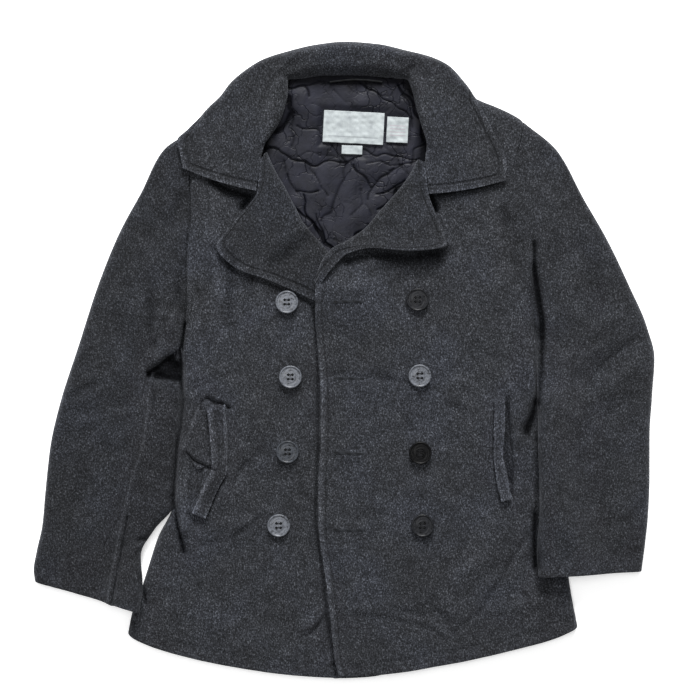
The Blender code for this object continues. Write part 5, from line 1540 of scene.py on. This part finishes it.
class PeaCoatSizes(bpy.types.PropertyGroup):
    """Sizes of the sewing and trim that a user would change."""

    stitch_inset: length_of("Stitch inset", "Topstitching in from an edge", 9.5)
    stitch_pitch: length_of("Stitch pitch", "From one topstitch to the next", 4.2)
    stitch_length: length_of("Stitch length", "Length of one topstitch", 3.3)
    thread_width: length_of("Thread width", "Thickness of the topstitching thread", 0.8)
    hem_depth: length_of("Hem depth", "Turned-up allowance at the hem", HEM_DEPTH)
    button_rim: length_of("Button rim", "Width of a button's raised rim", 2.0)
    button_dish: length_of("Button dish", "Depth of the dish inside the rim", 1.2)
    thread_hole: length_of("Thread hole", "Radius of a button's thread hole", 1.15)
    buttonhole_purl: length_of("Purl", "Reach of the purl stitch round a buttonhole", 1.2)
    floor_width: length_of("Floor width", "Width of the floor", 6000.0)


class PeaCoatColours(bpy.types.PropertyGroup):
    """sRGB hex colours of the cloth, thread, buttons and floor."""

    wool_shade: colour_of("Wool shade", "Deepest fibres of the melton", "#0f1011")
    wool_dark: colour_of("Wool dark", "Darker fibres of the melton", "#202124")
    wool_body: colour_of("Wool body", "Most of the melton", "#33353a")
    wool_fleck: colour_of("Wool fleck", "Pale fibres in the melton", "#62656b")
    lining_dark: colour_of("Lining dark", "Shaded nylon of the lining", "#101118")
    lining_light: colour_of("Lining light", "Lit nylon of the lining", "#1d1e28")
    label_ground: colour_of("Label ground", "Satin tape of the labels", "#a0a7a8")
    label_grime: colour_of("Label grime", "Where the satin has dulled", "#83898c")
    label_line: colour_of("Label line", "Woven line across a label", "#4a4e55")
    label_stripe: colour_of("Label stripe", "Muted stripes of the side label", "#8d7f88")
    loop: colour_of("Loop", "Cord of the hanger loop", "#0b0c0e")
    # The button tones are one cast polyester with painted reflection, lighter where it mirrors the
    # light.
    button_dark: colour_of("Button", "Cast polyester of the buttons", "#060607")
    button_handled: colour_of("Button, handled", "Buttons dimly lit by a painted reflection", "#17181b")
    button_worn: colour_of("Button, worn", "Buttons worn to a dark grey", "#303338")
    button_rubbed: colour_of("Button, rubbed", "Buttons whose face is rubbed grey", "#505359")
    thread: colour_of("Thread", "Topstitching, buttonhole and button thread", "#0f1012")
    purl: colour_of("Purl", "Thread worked round a buttonhole", "#26282c")
    slit: colour_of("Slit", "Shaded inside of a buttonhole", "#17181a")
    floor: colour_of("Floor", "Light table under the coat", "#fbfbfb")


def sizes():
    return bpy.context.scene.pea_coat_sizes


def colours():
    return bpy.context.scene.pea_coat_colours


def material_once(name, make):
    """The material of this name, made at its first use."""
    found = bpy.data.materials.get(name)
    return found if found else make(name)


def wool(part="body"):
    """The coat's melton, as light as it is drawn on this part of the coat: painted light and shade.
    """
    tone = colours()
    shades = (tone.wool_shade, tone.wool_dark, tone.wool_body, tone.wool_fleck)
    inset = sizes().stitch_inset
    strength = PAINTED_LIGHT_SHARES[part]
    return material_once(f"milled melton wool, {part}",
                         lambda name: melton_wool(name, shades, inset, strength))


def sewing_thread():
    tone = colours().thread
    return material_once("spun polyester thread", lambda name: spun_thread(name, tone))


def built(*names):
    """The named pieces, which must have been built before this one."""
    missing = [name for name in names if name not in bpy.data.objects]
    if missing:
        raise RuntimeError(f"build {missing} first")
    return [bpy.data.objects[name] for name in names]


def hemmed(points, sharp, depth):
    """The turned-up hem stands a little higher, with a faint line of painted shade where it ends
    inside.
    """
    up = distance_in(points, ("bottom",))
    points = points.copy()
    points[..., 2] += HEM_RISE * ease(depth + 2.5, depth - 1.5, up)
    mark, width = HEM_MARK
    return points, sharp + mark * np.exp(-((up - depth) / width) ** 2)


# ---------------------------------------------------------------- operators


class PEACOAT_OT_body(bpy.types.Operator):
    """Builds the back and the two fronts"""

    bl_idname = "peacoat.body"
    bl_label = "Body"

    def execute(self, context):
        cloth_of_coat = wool()
        hem = sizes().hem_depth / MM
        back = cloth("back_panel", back_surface()[..., :3], WOOL, cloth_of_coat, flip=True)
        lay(back, "back")
        right = front_surface(RIGHT_FRONT_LOWER, RIGHT_FRONT_UPPER, False)
        left = front_surface(LEFT_FRONT_LOWER, LEFT_FRONT_UPPER, True)
        for name, surface, below in (("front_right", right, ["back_panel"]),
                                    ("front_left", left, ["back_panel", "right_front_panel"])):
            side = name.split("_")[1]
            points, sharp = lifted(surface, UNDER_LINES)
            points, sharp = hemmed(points, sharp, hem)
            edge = distance_in(points, ("last",))
            edge[points[:, -1, 1] > LAPEL_BREAK_Y + 12.0] = FAR
            panel = cloth(f"{side}_front_panel", points, WOOL, cloth_of_coat,
                          flip=side == "left", edge=edge, sharp=sharp)
            lay(panel, name)
        return {"FINISHED"}


class PEACOAT_OT_lapels(bpy.types.Operator):
    """Turns the two lapels back at their roll lines"""

    bl_idname = "peacoat.lapels"
    bl_label = "Lapels"

    def execute(self, context):
        for side, uppers in (("right", RIGHT_FRONT_UPPER),
                             ("left", (*LEFT_LAPEL_LEAD, *LEFT_FRONT_UPPER))):
            rows = [lapel_row(upper) for upper in uppers if upper.roll]
            points, sharp = lifted(loft(rows, FINE_GRID))
            lapel = cloth(f"{side}_lapel", points, DOUBLED, wool("lapels"), flip=side == "right",
                          edge=distance_in(points, ("last",)), sharp=sharp)
            lay(lapel, f"lapel_{side}")
        return {"FINISHED"}


class PEACOAT_OT_collar(bpy.types.Operator):
    """Lays the collar and its stand round the neck"""

    bl_idname = "peacoat.collar"
    bl_label = "Collar"

    def execute(self, context):
        surface = collar_surface()
        points = surface[..., :3].copy()
        x, y = points[..., 0], points[..., 1]
        height, wave, seed = COLLAR_WAVE
        sharp = surface[..., 3] * bumps(COLLAR_CREASES, x, y, True)
        points[..., 2] += sharp + surface[..., 3] * height * ripple(x, y, wave, seed)
        edge = np.zeros(points.shape[:2])
        on_top = slice(0, COLLAR_EDGE_COLUMN + 1)
        edge[:, on_top] = distance_in(points[:, on_top], ("last", "bottom", "top"))
        collar = cloth("coat_collar", points, DOUBLED, wool("collar"), flip=True, edge=edge,
                       sharp=sharp)
        lay(collar, "collar")
        return {"FINISHED"}


class PEACOAT_OT_sleeves(bpy.types.Operator):
    """Builds the two sleeves, each of an upper and an under piece, flattened on the floor"""

    bl_idname = "peacoat.sleeves"
    bl_label = "Sleeves"

    def execute(self, context):
        sides = (
            ("right", RIGHT_FRONT_UPPER, RIGHT_SLEEVE, RIGHT_FRONT_LOWER, -1.0, RIGHT_SEAM),
            ("left", LEFT_FRONT_UPPER, LEFT_SLEEVE, LEFT_FRONT_LOWER, 1.0, None),
        )
        for side, uppers, crosses, lowers, hand, front_seam in sides:
            rings = sleeve_rings(uppers, crosses, lowers, hand)
            back_seam = floor_column(uppers, BACK_SEAM)
            if front_seam is None:
                front_seam = floor_column(uppers, LEFT_SEAM)
            else:
                front_seam *= COLUMNS_PER_ROW
            for part, first, last in (("upper", front_seam, back_seam),
                                      ("under", back_seam, front_seam)):
                points, sharp = lifted(ring_slice(rings, first, last))
                sleeve = cloth(f"{side}_sleeve_{part}", points, WOOL,
                               wool(f"{side} sleeve"), flip=hand > 0,
                               sharp=sharp)
                lay(sleeve, f"sleeve_{side}_{part}")
        return {"FINISHED"}


def lying(spots, over, rise):
    """A grid of plan spots raised from the cloth below by the rise of each."""
    heights = np.array([[over(x, y) for x, y in row] for row in spots])
    return np.dstack([spots, heights + rise])


def strip_grid(strips, columns, spacing):
    """Plan spots of a strip along its middle line, with each spot's share across, -1 to 1."""
    table = np.array(strips, float)
    knots = along(table[:, :2])
    at = np.linspace(0.0, knots[-1], int(knots[-1] / spacing) + 1)
    middle = smooth_through(knots, table, at)
    run = np.gradient(middle[:, :2], axis=0)
    run /= np.linalg.norm(run, axis=1)[:, None]
    across = np.column_stack([-run[:, 1], run[:, 0]])
    share = np.linspace(-1.0, 1.0, columns + 1)
    half = middle[:, 2, None, None] / 2.0
    spots = middle[:, None, :2] + across[:, None] * half * share[None, :, None]
    return spots, np.broadcast_to(share, spots.shape[:2])


class PEACOAT_OT_neck(bpy.types.Operator):
    """Builds the quilted neck lining, its labels and the hanger loop"""

    bl_idname = "peacoat.neck"
    bl_label = "Neck lining, labels and loop"

    def execute(self, context):
        tone = colours()
        nylon = quilted_nylon((tone.lining_dark, tone.lining_light))
        points, sharp = lined_neck()
        lining = cloth("quilted_lining", points, LINING, nylon, sharp=sharp)
        lay(lining, "neck_lining")
        over = surface_of(lining)
        for patch in PATCHES:
            self.lay_label(patch, over)
        self.hang_loop(over)
        return {"FINISHED"}

    def lay_label(self, patch, over):
        tone = colours()
        turn = math.radians(patch.turn)
        u = np.linspace(-0.5, 0.5, int(patch.width / LABEL_GRID) + 1) * patch.width
        v = np.linspace(-0.5, 0.5, int(patch.length / LABEL_GRID) + 1) * patch.length
        u, v = np.meshgrid(u, v)
        x = patch.x + u * math.cos(turn) - v * math.sin(turn)
        y = patch.y + u * math.sin(turn) + v * math.cos(turn)
        centre = np.mean([over(a, b) for a, b in zip(x.ravel()[::37], y.ravel()[::37])])
        curl = 0.4 * ripple(x, y, 24.0, 41) + 0.2 * ripple(x, y, 9.0, 43)
        points = np.dstack([x, y, centre + TAPE + LABEL_LIFT + curl])
        stripe = label_bands(patch, u, v)
        band = tone.label_stripe if patch.name == "label_side" else tone.label_line
        satin = woven_label(f"woven satin, {patch.name}", (tone.label_grime, tone.label_ground),
                            band)
        label = cloth(f"{patch.name}_tape", points, TAPE, satin)
        set_attribute(label.data, LABEL_BAND, stripe)
        lay(label, patch.name)

    def hang_loop(self, over):
        t = np.linspace(-0.5, 0.5, 60)
        x = LOOP_MIDDLE[0] + LOOP_LENGTH * t
        y = LOOP_MIDDLE[1] + LOOP_BOW * np.cos(math.pi * t)
        z = np.array([over(a, b) for a, b in zip(x, y)])
        z = np.convolve(np.pad(z, 4, "edge"), np.ones(9) / 9.0, "valid") + LOOP_LIFT
        tone = colours().loop
        cord = material_once("braided polyester cord", lambda name: spun_thread(name, tone, 0.8))
        loop = trim("cord_loop", *tube(np.column_stack([x, y, z]), LOOP_RADIUS, 12), cord, "loop")
        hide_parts("hanger_loop")


def label_bands(patch, u, v):
    """Plain woven lines, as share of the line's colour; no words."""
    if patch.name == "label_side":
        apart, half, reach, low, high, strength = STRIPES
        rows = np.abs(np.mod(v + high, apart) - apart / 2.0) < half
        return (rows & (np.abs(u) < reach) & (v > low) & (v < high)).astype(float) * strength
    if patch.name == "label_size":
        return np.zeros_like(u)
    level, half, reach, strength = LABEL_LINE
    return ((np.abs(v - level) < half) & (np.abs(u) < reach)).astype(float) * strength


class PEACOAT_OT_pockets(bpy.types.Operator):
    """Lays the two pocket welts and the facing that shows in the open pocket"""

    bl_idname = "peacoat.pockets"
    bl_label = "Pockets"

    def execute(self, context):
        on_right = surface_of(*built("right_front_panel"))
        on_left = surface_of(*built("left_front_panel"))
        pieces = (
            ("right_welt", "welt_right", RIGHT_WELT, WOOL, on_right, 1.4, "right_front_panel"),
            ("left_welt", "welt_left", LEFT_WELT, WOOL, on_left, 1.0, "left_front_panel"),
            ("right_pocket_facing", "pocket_facing_right", RIGHT_POCKET_FACING, TAPE, on_right,
             1.2, "right_front_panel"),
        )
        for name, node, strips, wall, over, crown, below in pieces:
            spots, share = strip_grid(strips, POCKET_COLUMNS, POCKET_GRID)
            rise = wall + POCKET_LIFT + crown * (1.0 - share**2)
            sharp = line_relief(POCKET_LINES, spots[..., 0], spots[..., 1])
            points = lying(spots, over, rise + POCKET_RELIEF * sharp)
            edge = distance_in(points, ("first", "last")) if wall == WOOL else None
            welt = cloth(name, points, wall, wool(), edge=edge, sharp=sharp)
            lay(welt, node)
        return {"FINISHED"}


class PEACOAT_OT_buttonholes(bpy.types.Operator):
    """Works the four buttonholes of the over front"""

    bl_idname = "peacoat.buttonholes"
    bl_label = "Buttonholes"

    def execute(self, context):
        over = surface_of(*built("left_front_panel"))
        reach = sizes().buttonhole_purl / MM
        count, wide = SLIT_POINTS
        x = np.linspace(*BUTTONHOLE_X, count)
        slit = material_once("shaded wool edge", lambda name: spun_thread(name, colours().slit))
        purl = material_once("buttonhole twist", lambda name: spun_thread(name, colours().purl))
        for number, level in enumerate(BUTTONHOLES, 1):
            y = level + 0.5 * np.sin(x / 9.0 + number)
            z = np.array([over(a, b) for a, b in zip(x, y)])
            half = mix(*SLIT_HALF, np.exp(-((x - x[0] - 2.0) / 1.8) ** 2))
            across = half[:, None] * np.linspace(-1.0, 1.0, wide)
            grid = np.dstack([
                np.broadcast_to(x[:, None], across.shape),
                y[:, None] + across,
                z[:, None] + 0.3 - 0.1 * across**2,
            ])
            # A dark strip over each slit stands for the shade inside it: painted shade.
            trim(f"buttonhole_slit_{number}", (grid.reshape(-1, 3) * MM).tolist(),
                 grid_faces(count, wide, True).tolist(), slit, "wool")
            paths = []
            for a, b, c, start in zip(x, y, z, half):
                for side in (-1.0, 1.0):
                    paths.append(np.array(((a, b + side * start, c + 0.3),
                                           (a + 0.2, b + side * (start + reach), c + 0.1))))
            stitched_piece(f"buttonhole_purl_{number}", paths, reach * 1.1, 0.42, reach, purl)
        return {"FINISHED"}


class PEACOAT_OT_buttons(bpy.types.Operator):
    """Turns the eight four-hole buttons and sews them on"""

    bl_idname = "peacoat.buttons"
    bl_label = "Buttons"

    def execute(self, context):
        tone = colours()
        # Four tones and glosses of one polyester: painted reflection, lighter on buttons that
        # mirror the overhead light.
        dark = cast_polyester("cast polyester", tone.button_dark, 0.34, 0.10)
        handled_and_dimly_lit = cast_polyester("cast polyester, handled", tone.button_handled, 0.32, 0.15)
        lit_and_worn = cast_polyester("cast polyester, worn", tone.button_worn, 0.31, 0.2)
        glinting = cast_polyester("cast polyester, rubbed", tone.button_rubbed, 0.30, 0.3)
        rows = {"right": (glinting, glinting, lit_and_worn, glinting), "left": (handled_and_dimly_lit, glinting, dark, handled_and_dimly_lit)}
        for side, finishes in rows.items():
            for number, finish in enumerate(finishes, 1):
                self.sew(f"button_{side}_{number}", finish)
        return {"FINISHED"}

    def sew(self, node, material):
        low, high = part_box(node)
        middle = (low + high) / 2.0
        place = Vector((0.0, 0.0, 1.0)).rotation_difference(
            face_normal(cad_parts[node])).to_matrix()
        radius = max(high.x - low.x, high.y - low.y) / 2.0 / MM
        verts, faces, sunk = button_shape(radius)
        turned = [tuple(middle + place @ Vector(v)) for v in verts]
        button = trim(f"{node}_disc", turned, faces, material, "button")
        # The holes' depth, which the material paints dark as shade.
        set_attribute(button.data, SHARP_RELIEF, sunk)
        button.data.set_sharp_from_angle(angle=math.radians(40.0))
        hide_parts(node)
        top = BUTTON_THICKNESS / 2.0 - sizes().button_dish / MM + 0.15
        bars = []
        for ends in ((0, 1), (3, 2)):
            for shift in (-THREAD_SPREAD, THREAD_SPREAD):
                spots = [Vector((EYES[end][0], EYES[end][1] + shift, top)) * MM for end in ends]
                bars.append(np.array([middle + place @ spot for spot in spots]) / MM)
        length = 2.0 * EYE + 0.6
        stitched_piece(f"{node}_thread", bars, length, BUTTON_THREAD, length, sewing_thread())


def face_normal(solid):
    """The way a button's solid faces: the mean normal of its upward faces."""
    total = Vector((0.0, 0.0, 0.0))
    for face in solid.data.polygons:
        if face.normal.z > 0.8:
            total += face.normal * face.area
    return total.normalized()


def button_shape(radius):
    """A button round Z in metres: turned edge, raised rim, dish, faint relief, four holes."""
    rim, dish = sizes().button_rim / MM, sizes().button_dish / MM
    hole = sizes().thread_hole / MM
    half = BUTTON_THICKNESS / 2.0
    inner = radius - rim
    profile = [             # out from the axis, and up
        (radius - 2.2, -half), (radius - 0.5, -half + 0.9), (radius, -half + 1.8),
        (radius, half - 1.5), (radius - 0.25, half - 0.5), (radius - 0.9, half),
        (radius - rim * 0.7, half), (inner, half - 0.35), (inner - 0.9, half - dish),
    ]
    dish_starts = len(profile)
    profile += [(r, half - dish) for r in np.linspace(inner - 1.5, 0.0, DISH_RINGS)]
    eye = EYE * math.sqrt(2.0)
    verts, sunk = [], []
    for i, (r, z) in enumerate(profile):
        for angle in math.tau * np.arange(BUTTON_SIDES) / BUTTON_SIDES:
            x, y = r * math.cos(angle), r * math.sin(angle)
            lift = depth = 0.0
            if i >= dish_starts:
                lift = DISH_WAVE * math.sin(3.0 * angle + r * 1.7) * math.sin(r * 1.1) ** 2
                for eye_x, eye_y in EYES:
                    far = math.hypot(x - eye_x, y - eye_y)
                    depth -= HOLE_DEPTH * float(ease(hole + HOLE_EDGE, hole - HOLE_EDGE, far))
                lift += depth
                lift += EYE_RIDGE * float(ease(eye + 3.2, eye + 2.4, r))
            verts.append((x * MM, y * MM, (z + lift) * MM))
            sunk.append(depth)
    return verts, ring_faces(len(profile), BUTTON_SIDES), sunk


class PEACOAT_OT_stitching(bpy.types.Operator):
    """Topstitches the collar, lapels, front edge and pocket welt"""

    bl_idname = "peacoat.stitching"
    bl_label = "Topstitching"

    def execute(self, context):
        size = sizes()
        inset = size.stitch_inset / MM
        built("coat_collar", "left_lapel", "right_lapel", "left_front_panel", "right_welt")
        collar = SURFACES["coat_collar"][:, :COLLAR_EDGE_COLUMN + 1]
        edge = SURFACES["left_front_panel"]
        straight = edge[edge[:, -1, 1] < LAPEL_BREAK_Y]
        groups = {
            "collar": [inset_path(collar, "last", inset),
                       inset_path(collar, "bottom", inset, 0.35),
                       inset_path(collar, "top", inset, 0.35)],
            "left_lapel": [inset_path(SURFACES["left_lapel"], "last", inset),
                           inset_path(SURFACES["left_lapel"], "top", inset, 0.55)],
            "right_lapel": [inset_path(SURFACES["right_lapel"], "last", inset)],
            "front_edge": [inset_path(straight, "last", inset)],
            "right_welt": [inset_path(SURFACES["right_welt"], "last", WELT_INSET),
                           inset_path(SURFACES["right_welt"], "first", WELT_INSET)],
        }
        for name, paths in groups.items():
            sunk = [path + (0.0, 0.0, -STITCH_SINK) for path in paths]
            stitched_piece(f"{name}_topstitching", sunk, size.stitch_length / MM,
                           size.thread_width / MM / 2.0, size.stitch_pitch / MM,
                           sewing_thread())
        return {"FINISHED"}


class PEACOAT_OT_stage(bpy.types.Operator):
    """Sets the floor, the soft studio lights, the world and the camera"""

    bl_idname = "peacoat.stage"
    bl_label = "Stage"

    def execute(self, context):
        scene = context.scene
        scene.view_settings.view_transform = "Standard"
        self.lay_floor()
        for light in LIGHTS:
            self.hang_light(*light)
        world = bpy.data.worlds.new("studio walls")
        world.use_nodes = True
        background = world.node_tree.nodes["Background"]
        background.inputs["Color"].default_value = (1.0, 1.0, 1.0, 1.0)
        background.inputs["Strength"].default_value = WORLD_STRENGTH
        scene.world = world
        self.set_camera(scene)
        return {"FINISHED"}

    def lay_floor(self):
        half = sizes().floor_width / 2.0
        count = FLOOR_CELLS + 1
        line = np.linspace(-half, half, count)
        x, y = np.meshgrid(line, line)
        verts = np.dstack([x, y, np.full_like(x, FLOOR_Z)]).reshape(-1, 3)
        mesh = bpy.data.meshes.new("floor")
        mesh.from_pydata(verts.tolist(), [], grid_faces(count, count, False).tolist())
        floor = new_object("floor_board", mesh, opal_acrylic(colours().floor))

    def hang_light(self, name, place, size, power):
        lamp = bpy.data.lights.new(name, "AREA")
        lamp.shape = "SQUARE"
        lamp.size = size
        lamp.energy = power
        light = bpy.data.objects.new(name, lamp)
        light.location = place
        light.rotation_euler = (-Vector(place)).to_track_quat("-Z", "Y").to_euler()
        bpy.context.scene.collection.objects.link(light)

    def set_camera(self, scene):
        low, high = CAD_BOX
        lens = bpy.data.cameras.new("camera")
        lens.lens = CAMERA_LENS
        lens.sensor_width = CAMERA_SENSOR
        camera = bpy.data.objects.new("camera", lens)
        distance = VIEW_WIDTH * CAMERA_LENS / CAMERA_SENSOR
        camera.location = ((low.x + high.x) / 2.0 + VIEW_CENTRE[0],
                           (low.y + high.y) / 2.0 + VIEW_CENTRE[1], VIEW_Z + distance)
        scene.collection.objects.link(camera)
        scene.camera = camera


class PEACOAT_PT_panel(bpy.types.Panel):
    """Lists the coat's pieces, their sizes and their colours"""

    bl_label = "Pea coat"
    bl_idname = "PEACOAT_PT_panel"
    bl_space_type = "VIEW_3D"
    bl_region_type = "UI"
    bl_category = "Pea coat"

    def draw(self, context):
        for operator in OPERATORS:
            self.layout.operator(operator.bl_idname)
        for group in (context.scene.pea_coat_sizes, context.scene.pea_coat_colours):
            box = self.layout.box()
            for name in group.bl_rna.properties.keys():
                if name not in ("rna_type", "name"):
                    box.prop(group, name)


OPERATORS = (
    PEACOAT_OT_body, PEACOAT_OT_lapels, PEACOAT_OT_collar, PEACOAT_OT_sleeves,
    PEACOAT_OT_neck, PEACOAT_OT_pockets, PEACOAT_OT_buttonholes, PEACOAT_OT_buttons,
    PEACOAT_OT_stitching, PEACOAT_OT_stage,
)
CLASSES = (PeaCoatSizes, PeaCoatColours, *OPERATORS, PEACOAT_PT_panel)


def register():
    for each in CLASSES:
        bpy.utils.register_class(each)
    bpy.types.Scene.pea_coat_sizes = bpy.props.PointerProperty(type=PeaCoatSizes)
    bpy.types.Scene.pea_coat_colours = bpy.props.PointerProperty(type=PeaCoatColours)


def unregister():
    del bpy.types.Scene.pea_coat_colours
    del bpy.types.Scene.pea_coat_sizes
    for each in reversed(CLASSES):
        bpy.utils.unregister_class(each)


def main():
    register()
    bpy.ops.peacoat.body()
    bpy.ops.peacoat.lapels()
    bpy.ops.peacoat.collar()
    bpy.ops.peacoat.sleeves()
    bpy.ops.peacoat.neck()
    bpy.ops.peacoat.pockets()
    bpy.ops.peacoat.buttonholes()
    bpy.ops.peacoat.buttons()
    bpy.ops.peacoat.stitching()
    bpy.ops.peacoat.stage()


if __name__ == "__main__":
    main()
